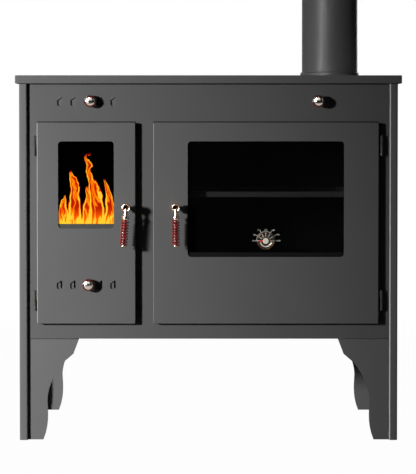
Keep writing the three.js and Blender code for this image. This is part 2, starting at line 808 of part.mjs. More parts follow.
// The moving half: a bored knuckle on a web from the door's edge. side points at the door.
function hingeKnuckle(x, centre, side) {
  const foot = centre + hingeSplit / 2;
  const knuckle = roundBar(knuckleRadius, foot, foot + knuckleHeight).translate([x, 0, 0]);
  const edge = x + side * hingeGap;
  const web = block(Math.min(x, edge), Math.max(x, edge), -hingeWeb / 2, hingeWeb / 2,
    foot, foot + knuckleHeight);
  const bore = roundBar(pinRadius + runningGap, foot - cutOverrun, foot + pinLength).translate([x, 0, 0]);
  return cut(joined(knuckle, web), bore);
}

// Spindle, rose, dished head, neck, collar, core and end cap, with the cam behind the panel.
// Drawn hanging from the spindle's axis, with the door's face at zero. side points at the keeper.
function handleArm(side, camReach) {
  const camFront = sheet + panelFace - doorFace + fitGap;
  const spindle = turned([
    [0, camFront + camThickness],
    [spindleRadius, camFront + camThickness],
    [spindleRadius, -fitGap],
    [roseRadius, -fitGap],
    [roseRadius, -roseHeight],
    [spindleRadius, -roseHeight],
    [spindleRadius, -headBack],
    [headRadius, -headBack],
    [headRadius, -headFront],
    [headRadius / 2, -headFront],
    [headRadius / 2, headDish - headFront],
    [0, headDish - headFront],
  ], roundFacets, true);
  const capStart = -gripStart - 2 * fitGap - gripPitch * gripTurns - 2 * gripWireRadius;
  const arm = turned([
    [0, -headRadius / 2],
    [neckRadius, -headRadius / 2],
    [neckRadius, collarLength - gripStart],
    [collarRadius, collarLength / 3 - gripStart],
    [collarRadius, -gripStart],
    [gripCoreRadius, -gripStart],
    [gripCoreRadius, capStart],
    [gripCapRadius, capStart],
    [gripCapRadius, capStart - gripCapLength / 2],
    [gripCapRadius / 2, capStart - gripCapLength],
    [0, capStart - gripCapLength],
  ], roundFacets).translate([0, -handleStandoff, 0]);
  const cam = new THREE.Shape();
  cam.absarc(0, 0, camHub, Math.PI / 2, 3 * Math.PI / 2);
  cam.lineTo(camReach - camHub / 2, -camHub);
  cam.lineTo(camReach, -camHub / 4);
  cam.lineTo(camReach, camHub / 4);
  const tongue = upright(new THREE.Shape(cam.getPoints(camSteps)), camFront, camFront + camThickness);
  return joined(spindle, arm, side < 0 ? tongue.mirror([1, 0, 0]) : tongue);
}

function handleCoil(name) {
  const wire = coil(name, gripCoilRadius, gripPitch, gripTurns, gripWireRadius);
  return wire.translate([0, -handleStandoff, -gripStart - fitGap - gripWireRadius]);
}

function fireboxShell() {
  const outer = block(fireboxLeft, fireboxRight, panelBack, fireboxBack, floorTop, fireboxTop);
  const x0 = fireboxLeft + fireboxSheet;
  const x1 = fireboxRight - fireboxSheet;
  const back = fireboxBack - fireboxSheet;
  const chamber = block(x0, x1, panelBack - cutOverrun, back, openingBottom, fireboxTop + cutOverrun);
  const under = block(x0, x1, panelBack - cutOverrun, back,
    floorTop - cutOverrun, openingBottom - fireboxSheet);
  return cut(outer, chamber, under);
}

// A table of folded sheet that stands on the firebox floor, with the hole that the grate covers.
function grateFrame() {
  const x0 = fireboxLeft + fireboxSheet + fitGap;
  const x1 = fireboxRight - fireboxSheet - fitGap;
  const back = fireboxBack - fireboxSheet - fitGap;
  const outer = block(x0, x1, panelBack + fitGap, back, openingBottom, grateLevel);
  const under = block(x0 + fireboxSheet, x1 - fireboxSheet, panelBack - cutOverrun, back + cutOverrun,
    openingBottom - cutOverrun, grateLevel - grateFrameSheet);
  const seat = 2 * grateMargin;
  const hole = block(grateLeft + seat, grateRight - seat, grateFront + seat, grateBack - seat,
    openingBottom, grateLevel + cutOverrun);
  return cut(outer, under, hole);
}

function grate() {
  const plate = block(grateLeft, grateRight, grateFront, grateBack, grateLevel, grateLevel + grateThickness);
  const edge = 3 * grateMargin;
  const pitch = (grateBack - grateFront - 2 * edge) / grateBars;
  const slots = [];
  for (let bar = 0; bar < grateBars; bar++) {
    const middle = grateFront + edge + pitch * (bar + 1 / 2);
    const half = pitch * grateBarShare / 2;
    slots.push(block(grateLeft + edge, grateRight - edge, middle - half, middle + half,
      grateLevel - cutOverrun, grateLevel + grateThickness + cutOverrun));
  }
  return cut(plate, ...slots);
}

function sideBrick(side) {
  const outer = side < 0 ? brickLeft : brickRight;
  const inner = outer - side * brickThickness;
  const front = panelBack + brickFrontGap;
  return block(Math.min(outer, inner), Math.max(outer, inner), front, brickBack, grateLevel, brickTop);
}

function backBrick() {
  const x0 = brickLeft + brickThickness + fitGap;
  const x1 = brickRight - brickThickness - fitGap;
  return block(x0, x1, brickBack - brickThickness, brickBack, grateLevel, brickTop);
}

// An open tray with a half-round grip cut down from the rim of its front wall.
function ashPan() {
  const x0 = fireOpening.left + ashPanGap;
  const x1 = fireOpening.right - ashPanGap;
  const front = panelBack + ashPanGap;
  const back = front + ashPanDepth;
  const top = openingBottom + ashPanHeight;
  const outer = block(x0, x1, front, back, openingBottom, top);
  const inner = block(x0 + ashPanSheet, x1 - ashPanSheet, front + ashPanSheet, back - ashPanSheet,
    openingBottom + ashPanSheet, top + cutOverrun);
  const notch = roundBarAlongY(ashPanGripRadius, front - cutOverrun, front + cutOverrun);
  return cut(outer, inner, notch.translate([(x0 + x1) / 2, 0, top]));
}

function ovenBox() {
  const { left, right } = ovenOpening;
  const back = panelBack + ovenDepth;
  const outer = block(left - ovenSheet, right + ovenSheet, panelBack, back,
    openingBottom - ovenSheet, openingTop + ovenSheet);
  const inner = block(left, right, panelBack - cutOverrun, back - ovenSheet, openingBottom, openingTop);
  return cut(outer, inner);
}

// A ladder of ledges on an oven wall. side points from the wall into the oven.
function ovenRail(side) {
  const wall = side > 0 ? ovenOpening.left : ovenOpening.right;
  const front = panelBack + trayFrontGap;
  const back = front + trayDepth;
  const spread = (reach, z0, z1) => {
    const edge = wall + side * reach;
    return block(Math.min(wall, edge), Math.max(wall, edge), front, back, z0, z1);
  };
  const top = lowestLedge + (railLedges - 1) * railSpacing + railFoot;
  const ledges = [];
  for (let ledge = 0; ledge < railLedges; ledge++) {
    const level = lowestLedge + ledge * railSpacing;
    ledges.push(spread(railLedge, level - railSheet, level));
  }
  return joined(spread(railSheet, lowestLedge - railFoot, top), ...ledges);
}

function ovenTray() {
  const x0 = ovenOpening.left + railSheet + trayGap;
  const x1 = ovenOpening.right - railSheet - trayGap;
  const front = panelBack + trayFrontGap;
  const back = front + trayDepth;
  const outer = flat(roundedRect(x0, x1, front, back, trayCorner), trayLevel, trayLevel + trayHeight);
  const innerShape = roundedRect(x0 + traySheet, x1 - traySheet, front + traySheet, back - traySheet,
    trayCorner - traySheet);
  return cut(outer, flat(innerShape, trayLevel + traySheet, trayLevel + trayHeight + cutOverrun));
}

// A bridge over the oven with a square port below the flue, on two folded feet.
function smokeBaffle() {
  const right = ovenOpening.right;
  const back = backPanelFront - baffleBackGap;
  const foot = openingTop + ovenSheet;
  const outer = block(baffleLeft, right, baffleFront, back, foot, baffleTop);
  const under = block(baffleLeft + baffleSheet, right - baffleSheet, baffleFront - cutOverrun,
    back + cutOverrun, foot - cutOverrun, baffleTop - baffleSheet);
  const half = damperPort / 2;
  const port = block(flueCentre.x - half, flueCentre.x + half, flueCentre.y - half, flueCentre.y + half,
    foot, baffleTop + cutOverrun);
  return cut(outer, under, port);
}

// The pull rod, its knob's core and cap, and the flap that slides on the bridge.
function bypassDamper() {
  const flapFront = flueCentre.y - damperFlap.depth / 2;
  const flapBottom = baffleTop + fitGap;
  const halfWidth = damperFlap.width / 2;
  const flap = block(flueCentre.x - halfWidth, flueCentre.x + halfWidth, flapFront,
    flapFront + damperFlap.depth, flapBottom, flapBottom + damperFlap.thickness);
  const rodEnd = flapFront + damperFlap.depth / 2;
  const rodFront = panelFace - knobCollarStart - damperKnobOut;
  const rod = roundBarAlongY(damperRodRadius, rodFront, rodEnd).translate([damperX, 0, damperHeight]);
  const knob = knobCore(panelFace, rodFront + knobCollarStart, damperKnobOut);
  return joined(flap, rod, knob.translate([damperX, 0, damperHeight]));
}

// Dial case: a stem through the pane, a back plate, a raised rim and a central pin.
function thermometerCase() {
  const back = glassFront - fitGap;
  const face = back - dialBack;
  const rimInner = dialRadius - dialRimWidth;
  return turned([
    [0, back + dialStemReach],
    [dialStemRadius, back + dialStemReach],
    [dialStemRadius, back],
    [dialRadius, back],
    [dialRadius, back - dialDepth],
    [rimInner, back - dialDepth],
    [rimInner, face],
    [dialPinRadius, face],
    [dialPinRadius, back - dialDepth],
    [0, back - dialDepth],
  ], 2 * roundFacets, true).translate([dialX, 0, dialHeight]);
}

// A flat strip wound outwards: its middle line has radius inner + (outer - inner) t at angle
// 2 pi turns t, and the strip keeps the same thickness all the way.
function bimetalSpiral() {
  const edge = (offset) => {
    const points = [];
    for (let step = 0; step <= spiralSteps * spiralTurns; step++) {
      const share = step / (spiralSteps * spiralTurns);
      const radius = spiralInner + (spiralOuter - spiralInner) * share + offset;
      const angle = 2 * Math.PI * spiralTurns * share;
      points.push(new THREE.Vector2(radius * Math.cos(angle), radius * Math.sin(angle)));
    }
    return points;
  };
  const outline = [...edge(spiralStrip / 2), ...edge(-spiralStrip / 2).reverse()];
  const gap = (spiralOuter - spiralInner) / spiralTurns - spiralStrip;
  console.log(`thermometer_spiral: least gap between turns ${gap.toFixed(2)} mm`);
  const back = glassFront - fitGap - dialBack - fitGap;
  return upright(new THREE.Shape(outline), back - spiralWidth, back).translate([dialX, 0, dialHeight]);
}

function thermometerPointer() {
  const back = glassFront - 2 * fitGap - dialDepth;
  const hub = roundBarAlongY(dialHubRadius, back - 2 * pointerThickness, back);
  const half = pointerWidth / 2;
  const blade = new THREE.Shape([
    new THREE.Vector2(0, -half),
    new THREE.Vector2(0, half),
    new THREE.Vector2(half - pointerLength, half),
    new THREE.Vector2(-pointerLength, 0),
    new THREE.Vector2(half - pointerLength, -half),
  ]);
  return joined(hub, upright(blade, back - pointerThickness, back)).translate([dialX, 0, dialHeight]);
}

const stove = new THREE.Group();
stove.position.y = -footprintCentre;

function add(name, solid, material, carrier = stove) {
  carrier.add(meshOf(name, solid, material));
}

add("side_panel_left", sidePanel(-1), paint);
add("side_panel_right", sidePanel(1), paint);
add("front_panel", frontPanel(), paint);
add("back_panel", block(-postInner, postInner, backPanelFront, backPanelBack, legHeight, bodyHeight), paint);
add("floor_plate", block(-postInner, postInner, panelBack, backPanelFront, legHeight, floorTop), paint);
const bracketFaces = { front: panelFace + bracketSetBack, rear: backPanelFront - bracketSetBack };
for (const [end, yFront] of Object.entries(bracketFaces)) {
  add(`leg_bracket_${end}_left`, legBracket(-1, yFront), paint);
  add(`leg_bracket_${end}_right`, legBracket(1, yFront), paint);
}

add("hob_rim", hobRim(), paint);
add("hob_plate", hobPlate(), castIron);
const hotplate = new THREE.Group();
hotplate.position.set(hotplateCentre.x, hotplateCentre.y, 0);
stove.add(hotplate);
add("hotplate_ring", hotplateRing(), castIron, hotplate);
add("hotplate_lid", hotplateLid(), castIron, hotplate);
add("flue_collar", flueCollar(), castIron);
add("flue_pipe", fluePipe(), paint);

add("firebox_shell", fireboxShell(), darkSteel);
add("grate_frame", grateFrame(), darkSteel);
add("grate", grate(), castIron);
add("firebrick_left", sideBrick(-1), fireclay);
add("firebrick_right", sideBrick(1), fireclay);
add("firebrick_back", backBrick(), fireclay);
add("ash_pan", ashPan(), darkSteel);

add("oven_box", ovenBox(), darkSteel);
add("oven_rail_left", ovenRail(1), darkSteel);
add("oven_rail_right", ovenRail(-1), darkSteel);
add("oven_tray", ovenTray(), darkSteel);
add("smoke_baffle", smokeBaffle(), darkSteel);

for (const [place, centre] of [["upper", hingeUpperCentre], ["lower", hingeLowerCentre]]) {
  add(`fire_hinge_pin_${place}`, hingePin(fireHingeX, centre), darkSteel);
  add(`oven_hinge_pin_${place}`, hingePin(ovenHingeX, centre), darkSteel);
  add(`fire_hinge_knuckle_${place}`, hingeKnuckle(fireHingeX, centre, 1), darkSteel);
  add(`oven_hinge_knuckle_${place}`, hingeKnuckle(ovenHingeX, centre, -1), darkSteel);
}

const dialHole = roundBarAlongY(dialStemRadius + runningGap, glassFront - cutOverrun, glassBack + cutOverrun)
  .translate([dialX, 0, dialHeight]);
add("fire_door_panel", fireDoorPanel(), paint);
add("fire_door_gasket", doorGasket(fireDoorLeft, fireDoorRight), ropeSeal);
add("fire_door_glass", doorGlass(fireWindow), blackGlass);
add("fire_glass_channel", glassChannel(fireWindow), paint);
add("fire_glass_clip", glassClip(fireWindow), darkSteel);
add("oven_door_panel", doorPanel(ovenDoorLeft, ovenDoorRight, ovenWindow, ovenHandleX), paint);
add("oven_door_gasket", doorGasket(ovenDoorLeft, ovenDoorRight), ropeSeal);
add("oven_door_glass", doorGlass(ovenWindow, dialHole), blackGlass);
add("oven_glass_channel", glassChannel(ovenWindow), paint);
add("oven_glass_clip", glassClip(ovenWindow), darkSteel);

add("thermometer_case", thermometerCase(), bronze);
add("thermometer_spiral", bimetalSpiral(), nickel);
add("thermometer_pointer", thermometerPointer(), redPaint);

const handles = [
  { door: "fire", x: fireHandleX, side: 1, tilt: handleTilt, camReach: fireCamReach },
  { door: "oven", x: ovenHandleX, side: -1, tilt: 0, camReach: ovenCamReach },
];
for (const { door, x, side, tilt, camReach } of handles) {
  const handle = new THREE.Group();
  handle.position.set(x, doorFace, handleHeight);
  handle.rotation.y = tilt;
  stove.add(handle);
  add(`${door}_handle`, handleArm(side, camReach), nickel, handle);
  add(`${door}_handle_coil`, handleCoil(`${door}_handle_coil`), redWire, handle);
}

const knobClosedX = airRowX + sliderKnobOffset;
const topKnob = knobCore(panelFace, panelBack + fitGap).translate([knobClosedX, 0, topAirHeight]);
add("top_air_slider", airSlider(panelBack, topAirHeight, 0), darkSteel);
add("top_air_knob", topKnob, nickel);
add("top_air_coil", knobCoil("top_air_coil", knobClosedX, panelFace, topAirHeight), redWire);

const doorKnobX = knobClosedX + doorSliderRest;
const skinBack = doorFace + doorSkin;
const doorKnob = knobCore(doorFace, skinBack + fitGap).translate([doorKnobX, 0, doorAirHeight]);
add("door_air_slider", airSlider(skinBack, doorAirHeight, doorSliderRest), darkSteel);
add("door_air_knob", doorKnob, nickel);
add("door_air_coil", knobCoil("door_air_coil", doorKnobX, doorFace, doorAirHeight), redWire);

add("bypass_damper", bypassDamper(), nickel);
add("bypass_coil", knobCoil("bypass_coil", damperX, panelFace, damperHeight, damperKnobOut), redWire);

export default stove;
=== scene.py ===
import json
import math

import bpy
import numpy as np
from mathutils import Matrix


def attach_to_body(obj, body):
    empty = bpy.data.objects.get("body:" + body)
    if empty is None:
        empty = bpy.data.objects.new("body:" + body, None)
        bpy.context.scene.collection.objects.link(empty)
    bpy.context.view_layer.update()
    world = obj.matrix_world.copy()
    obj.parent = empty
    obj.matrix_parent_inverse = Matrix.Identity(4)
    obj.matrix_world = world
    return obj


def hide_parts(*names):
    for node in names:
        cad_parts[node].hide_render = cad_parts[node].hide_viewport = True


# Everything is in metres, +Z up, and the doors face -Y. Sizes in the dictionaries are millimetres.
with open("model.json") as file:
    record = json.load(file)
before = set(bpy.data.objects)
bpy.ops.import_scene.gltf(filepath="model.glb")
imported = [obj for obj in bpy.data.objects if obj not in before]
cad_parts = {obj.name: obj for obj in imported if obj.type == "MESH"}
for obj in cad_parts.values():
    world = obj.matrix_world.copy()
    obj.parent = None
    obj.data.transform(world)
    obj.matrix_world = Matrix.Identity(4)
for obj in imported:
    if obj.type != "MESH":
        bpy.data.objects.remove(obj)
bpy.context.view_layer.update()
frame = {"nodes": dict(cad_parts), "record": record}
cadNodes = frame["nodes"]
mm = 0.001
fullTurn = 2 * math.pi
print("frame loaded:", len(cadNodes), "nodes")


def joined(*parts):
    # parts side by side along a last axis, with single numbers spread to the shape of the others
    return np.stack(np.broadcast_arrays(*parts), axis=-1)


def pick(sizes, names):
    return (sizes[name] for name in names.split())


def setAll(target, settings):
    for key, value in settings.items():
        setattr(target, key, value)
    return target


def linked(name, data):
    made = bpy.data.objects.new(name, data)
    bpy.context.scene.collection.objects.link(made)
    return made


def circle(angle):
    return joined(np.cos(angle), np.sin(angle))


def ring(steps):
    # angles once round
    return np.linspace(0, fullTurn, steps, endpoint=False)


def quarter(steps):
    return np.linspace(0, math.pi / 2, steps)


def srgb(colour, share=1.0):
    # a screen colour from 0 to 255 as the linear one that shaders take, darker or lighter by a share
    part = np.array(colour) / 255
    linear = np.where(part <= 0.04045, part / 12.92, ((part + 0.055) / 1.055) ** 2.4)
    return (*(share * linear).tolist(), 1.0)


# Node maths

def forwards(operation):
    return lambda field, other: field.maths(operation, field, other)


def backwards(operation):
    return lambda field, other: field.maths(operation, other, field)


class Field:
    # a socket that takes + - * / and ** like a number, each adding a Math node
    __add__ = forwards("ADD")
    __radd__ = backwards("ADD")
    __sub__ = forwards("SUBTRACT")
    __rsub__ = backwards("SUBTRACT")
    __mul__ = forwards("MULTIPLY")
    __rmul__ = backwards("MULTIPLY")
    __truediv__ = forwards("DIVIDE")
    __pow__ = forwards("POWER")
    turnFrom = forwards("ARCTAN2")
    most = forwards("MAXIMUM")
    least = forwards("MINIMUM")

    def __init__(self, maker, socket):
        self.maker = maker
        self.socket = socket

    def maths(self, operation, first, second):
        return self.maker.node("ShaderNodeMath", {0: first, 1: second}, {"operation": operation})[0]

    def size(self):
        return self.maths("ABSOLUTE", self, 0.0)

    def between(self, low, high):
        # 0 below low, 1 above high, and an even S between them
        sockets = {"Value": self, "From Min": low, "From Max": high}
        smooth = {"interpolation_type": "SMOOTHSTEP"}
        return self.maker.node("ShaderNodeMapRange", sockets, smooth)["Result"]

    def within(self, start, full, fading, end):
        # rises from start to full, and falls from fading to end
        return self.between(start, full) * (1 - self.between(fading, end))


class Outputs:
    # a node's outputs, by name or number, as fields
    def __init__(self, maker, made):
        self.maker = maker
        self.made = made

    def __getitem__(self, key):
        return Field(self.maker, self.made.outputs[key])


class NodeMaker:
    # makes the nodes of one tree; a colour of three numbers is a screen colour
    def __init__(self, tree):
        self.tree = tree

    def node(self, kind, sockets={}, settings={}):
        made = setAll(self.tree.nodes.new(kind), settings)
        for key, value in sockets.items():
            target = made.inputs[key]
            if isinstance(value, Field):
                self.tree.links.new(value.socket, target)
            elif target.type == "RGBA" and len(value) == 3:
                target.default_value = srgb(value)
            else:
                target.default_value = value
        return Outputs(self, made)

    def split(self, vector):
        parts = self.node("ShaderNodeSeparateXYZ", {"Vector": vector})
        return parts["X"], parts["Y"], parts["Z"]


class Finish(NodeMaker):
    # the nodes of one material, or of the world when that is given
    def __init__(self, name, world=None):
        self.holder = world or bpy.data.materials.new(name)
        self.holder.use_nodes = True
        super().__init__(self.holder.node_tree)
        self.tree.nodes.clear()
        self.place = self.node("ShaderNodeTexCoord")["Generated" if world else "Object"]

    def axes(self):
        return self.split(self.place)

    def point(self, x, y, z):
        return self.node("ShaderNodeCombineXYZ", {"X": x, "Y": y, "Z": z})["Vector"]

    def noise(self, scale, detail=3.0, roughness=0.5, at=None):
        sockets = {"Vector": at or self.place, "Scale": scale, "Detail": detail, "Roughness": roughness}
        return self.node("ShaderNodeTexNoise", sockets)["Fac"]

    def cells(self, scale):
        return self.node("ShaderNodeTexVoronoi", {"Vector": self.place, "Scale": scale})["Distance"]

    def ramp(self, value, stops):
        ramp = self.node("ShaderNodeValToRGB", {"Fac": value})
        elements = ramp.made.color_ramp.elements
        while len(elements) < len(stops):
            elements.new(0.5)
        for element, (position, colour) in zip(elements, stops):
            element.position = position
            element.color = srgb(colour)
        return ramp["Color"]

    def blend(self, share, first, second):
        return self.node("ShaderNodeMix", {0: share, 6: first, 7: second}, {"data_type": "RGBA"})[2]

    def surface(self, colour, roughness, gloss=0.5, metallic=0.0, bump=None, others={}):
        # bump is a height with its depth in millimetres
        sockets = {"Base Color": colour, "Roughness": roughness, "Specular IOR Level": gloss,
                   "Metallic": metallic, **others}
        if bump:
            relief = {"Height": bump[0], "Distance": bump[1] * mm}
            sockets["Normal"] = self.node("ShaderNodeBump", relief)["Normal"]
        shader = self.node("ShaderNodeBsdfPrincipled", sockets)["BSDF"]
        self.node("ShaderNodeOutputMaterial", {"Surface": shader})
        return self.holder


# Meshes from grids of points

def gridFaces(rows, columns, wrapRows):
    row = np.arange(rows if wrapRows else rows - 1)[:, None]
    column = np.arange(columns)
    here, below = row * columns, (row + 1) % rows * columns
    beside = (column + 1) % columns
    return joined(here + column, here + beside, below + beside, below + column).reshape(-1, 4)


def shell(points, wrapRows):
    # one closed skin: shared points merged, flat faces dropped, and every face turned outwards
    rows, columns = points.shape[:2]
    flatPoints = points.reshape(-1, 3)
    keys = np.round(flatPoints * 1e7).astype(np.int64)
    first, merged = np.unique(keys, axis=0, return_index=True, return_inverse=True)[1:]
    vertices = flatPoints[first]
    faces = merged.reshape(-1)[gridFaces(rows, columns, wrapRows)]
    doubled = faces == np.roll(faces, -1, axis=1)
    quads = faces[doubled.sum(1) == 0]
    pinched = doubled.sum(1) == 1
    triangles = faces[pinched][~doubled[pinched]].reshape(-1, 3)
    corners = vertices[np.concatenate([quads[:, :3], quads[:, [0, 2, 3]], triangles])]
    volume = np.einsum("ij,ij->i", corners[:, 0], np.cross(corners[:, 1], corners[:, 2])).sum()
    if volume < 0:
        quads, triangles = quads[:, ::-1], triangles[:, ::-1]
    return vertices, quads, triangles


def attach(name, mesh, body):
    piece = linked(name, mesh)
    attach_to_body(piece, body)
    return piece


def addPiece(name, grids, body, slot, replaces=(), material=None, others=(), wrapRows=False, sharpAbove=35):
    # the slot's own finish unless a material is given; others gives a second finish to some of the
    # grids, as pairs of a grid's number and a material
    vertices, faces, owners, count = [], [], [], 0
    for number, grid in enumerate(grids):
        points, quads, triangles = shell(grid, wrapRows)
        vertices.append(points)
        faces += (quads + count).tolist() + (triangles + count).tolist()
        owners += [number] * (len(quads) + len(triangles))
        count += len(points)
    mesh = bpy.data.meshes.new(name)
    mesh.from_pydata(np.concatenate(vertices).tolist(), [], faces)
    mesh.shade_smooth()
    mesh.set_sharp_from_angle(angle=math.radians(sharpAbove))
    mesh.materials.append(material or finishes[slot])
    finishOf = np.zeros(len(grids), np.int32)
    for number, other in others:
        mesh.materials.append(other)
        finishOf[number] = len(mesh.materials) - 1
    mesh.polygons.foreach_set("material_index", finishOf[np.array(owners)])
    piece = attach(name, mesh, body)
    if replaces:
        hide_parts(*replaces)


def softened(profile, radius):
    # each inner corner of a profile becomes a short curve between two points set back from it
    profile = np.array(profile, float)
    points = [profile[0]]
    share = np.linspace(0, 1, 5)[:, None]
    for before, corner, after in zip(profile, profile[1:], profile[2:]):
        toBefore, toAfter = np.linalg.norm(before - corner), np.linalg.norm(after - corner)
        back = min(radius, 0.48 * toBefore, 0.48 * toAfter)
        start = corner + (before - corner) / toBefore * back
        end = corner + (after - corner) / toAfter * back
        points += list((1 - share) ** 2 * start + 2 * share * (1 - share) * corner + share ** 2 * end)
    points.append(profile[-1])
    return np.array(points)


def turned(profile, centre, along, steps):
    # profile rows are (radius, distance); the radius turns round the axis through centre
    radius, distance = np.asarray(profile, float).T[:, :, None] * mm
    across, upward = radius * np.cos(ring(steps)), radius * np.sin(ring(steps))
    axes = {"y": (across, distance, upward), "z": (across, upward, distance)}
    return joined(*axes[along]) + np.array(centre) * mm


def dome(radius, foot, height, steps):
    # a quarter ellipse from the rim to the crown, as radius and distance
    return circle(quarter(steps)) * [radius, height] + [0, foot]


def layered(outline, centre, levels):
    # a flat outline in X and Z at several depths in Y, each time drawn in towards its centre by a share
    rings = [centre + (outline - centre) * share for share, depth in levels]
    return np.array([joined(ring[:, 0], depth, ring[:, 1]) for ring, (_, depth) in zip(rings, levels)]) * mm


def blunted(around, wide, deep):
    # an oval with blunt corners: both the cosine and the sine are raised to a power below one
    cosine, sine = np.cos(around), np.sin(around)
    power = 0.8
    return joined(np.sign(cosine) * np.abs(cosine) ** power * wide,
                  np.sign(sine) * np.abs(sine) ** power * deep)


def sweep(centres, sideways, outward, section):
    # a section of (side, out) pairs carried along a line of centres, in two directions at each
    side, out = section[..., 0, None], section[..., 1, None]
    return centres[:, None] + side * sideways[:, None] + out * outward[:, None]


def woundWire(size, stepsPerTurn):
    # centre line (r cos a, r sin a, -pitch a / 2 pi), a round section, and round ends
    radius, pitch, turns, wire = pick(size, "coil pitch turns wire")
    tip = np.sin(quarter(6))
    swell = np.cos(np.linspace(math.pi / 2, 0, 6))
    steps = int(stepsPerTurn * turns)
    angle = np.linspace(0, fullTurn * turns, steps)
    lead = wire / math.hypot(radius, pitch / fullTurn)
    angles = np.concatenate([-lead * (1 - tip), angle[1:-1], fullTurn * turns + lead * (1 - tip[::-1])])
    scale = np.concatenate([swell, np.ones(steps - 2), swell[::-1]])
    cosine, sine = np.cos(angles), np.sin(angles)
    centres = joined(radius * cosine, radius * sine, -pitch * angles / fullTurn)
    outward = joined(cosine, sine, 0.0)
    forward = joined(-radius * sine, radius * cosine, -pitch / fullTurn)
    forward /= np.linalg.norm(forward, axis=1)[:, None]
    section = wire * scale[:, None, None] * circle(ring(16))
    return sweep(centres, np.cross(forward, outward), outward, section) * mm


def slab(corner, opposite, edge):
    # a block with rounded edges: six rings from pole to pole, each a rounded rectangle
    low, high = np.minimum(corner, opposite), np.maximum(corner, opposite)
    middle, half = (low + high) / 2, (high - low) / 2
    arc = quarter(4)
    turn = (np.arange(4)[:, None] * math.pi / 2 + arc).reshape(-1)
    signX = np.repeat([1, -1, -1, 1], 4)
    signY = np.repeat([1, 1, -1, -1], 4)
    rise = edge * np.sin(arc)
    inset = edge * (1 - np.cos(arc))
    poles = [joined(np.zeros(16), 0.0, level) for level in (-half[2], half[2])]
    rings = []
    levels = np.concatenate([-half[2] + edge - rise[::-1], half[2] - edge + rise])
    for level, back in zip(levels, np.concatenate([inset[::-1], inset])):
        x = signX * (half[0] - edge) + (edge - back) * np.cos(turn)
        y = signY * (half[1] - edge) + (edge - back) * np.sin(turn)
        rings.append(joined(x, y, level))
    return (np.array([poles[0], *rings, poles[1]]) + middle) * mm


# Finishes. Noise scales are waves per metre; gloss is the strength of the sheen.

stovePaint = {"colour": (84, 84, 84), "roughness": 0.6, "grain": 0.05, "gloss": 0.0}
fluePaint = {"colour": (68, 68, 68), "roughness": 0.43, "streak": 0.36, "brushed": 0.16, "gloss": 0.1}
# folded edges get this paint, lighter than the stove paint as a painted highlight; the places in x: both
# doors' left edges, given a brighter painted highlight; frontY: where that ends
foldedPaint = {"colour": (88, 88, 88), "rubbed": (128, 128, 127), "roughness": 0.4, "grain": 0.03,
               "gloss": 0.08, "worn": (-376.2, -120.5), "wornReach": (1.5, 2.4), "frontY": (-222, -220)}
# the colour and soft edges of painted shadow lines
shadowLine = {"colour": (8, 8, 8), "share": 0.75, "soft": 0.5, "fadeLow": 0.4, "fadeHigh": 0.6}
sprayScale = 1500


def paintFinish(name, look, sootAndShadow=()):
    # matt heat-proof paint: one even colour, a fine sprayed grain and a faint cloudiness; the last argument
    # lists painted shadows, dark lines by the middle and half width in x and the lowest and highest z
    finish = Finish(name)
    grain = finish.noise(sprayScale, 2)
    peel = finish.noise(420, 2)
    cloud = finish.noise(7)
    painted = finish.blend(0.7 * cloud + 0.3 * grain, srgb(look["colour"], 0.9), srgb(look["colour"], 1.07))
    x, _, z = finish.axes()
    soft = shadowLine["soft"]
    for middle, half, low, high in sootAndShadow:
        across = 1 - (x - middle * mm).size().between((half - soft) * mm, (half + soft) * mm)
        start, end = low - shadowLine["fadeLow"], high + shadowLine["fadeHigh"]
        upward = z.within(start * mm, low * mm, high * mm, end * mm)
        painted = finish.blend(shadowLine["share"] * across * upward, painted, shadowLine["colour"])
    roughness = look["roughness"] + 0.1 * (cloud - 0.5) + 0.08 * (grain - 0.5)
    return finish.surface(painted, roughness, look["gloss"], bump=(grain + 1.5 * peel, look["grain"]))


def fluePaintFinish(look):
    # paint wiped on along the pipe: long faint streaks that break up its one soft highlight
    finish = Finish("fluePaint")
    x, y, z = finish.axes()
    streak = finish.noise(1.0, 4, 0.55, at=finish.point(x * 240, y * 240, z * 16))
    painted = finish.blend(0.5 * finish.noise(11) + 0.5 * streak, srgb(look["colour"], 0.88), look["colour"])
    roughness = look["roughness"] + look["streak"] * (streak - 0.5)
    return finish.surface(painted, roughness, look["gloss"], bump=(streak, look["brushed"]))


def wornPaintFinish(name, look):
    # stove paint with a painted highlight: lighter at the front wherever the nearest listed upright edge is
    # close
    finish = Finish(name)
    x, y, _ = finish.axes()
    grain = finish.noise(sprayScale, 2)
    away = 1.0
    for place in look["worn"]:
        away = (x - place * mm).size().least(away)
    near, far = look["wornReach"]
    front, back = look["frontY"]
    rubbed = (1 - away.between(near * mm, far * mm)) * (1 - y.between(front * mm, back * mm))
    painted = finish.blend(rubbed * (0.7 + 0.5 * finish.noise(40)), look["colour"], look["rubbed"])
    roughness = look["roughness"] + 0.08 * (grain - 0.5)
    return finish.surface(painted, roughness, look["gloss"], bump=(grain, look["grain"]))


def ironFinish(name, colour, roughness, pit):
    # sand-cast iron: pits of two sizes, lighter where the surface is rubbed
    finish = Finish(name)
    coarse = finish.noise(260, 4, 0.6)
    fine = finish.noise(1400, 2)
    wear = finish.noise(18, 4, 0.6).between(0.48, 0.72)
    rubbed = finish.blend(wear, colour, srgb(colour, 1.3))
    sway = 0.1 * (fine - 0.5) - 0.1 * wear
    return finish.surface(rubbed, roughness + sway, 0.25, 0.1, (coarse + 0.4 * fine, pit))


def chamberFinish():
    # scaled sheet steel, a little rusty in patches
    finish = Finish("chamberSteel")
    scale = finish.noise(30, 5, 0.6)
    patches = finish.noise(9, 4, 0.6).between(0.55, 0.75)
    steel = finish.blend(scale, (46, 45, 45), (66, 64, 62))
    rusty = finish.blend(0.35 * patches, steel, (92, 66, 48))
    height = scale + 0.5 * finish.noise(700, 2)
    return finish.surface(rusty, 0.6 + 0.15 * patches, metallic=0.3, bump=(height, 0.15))


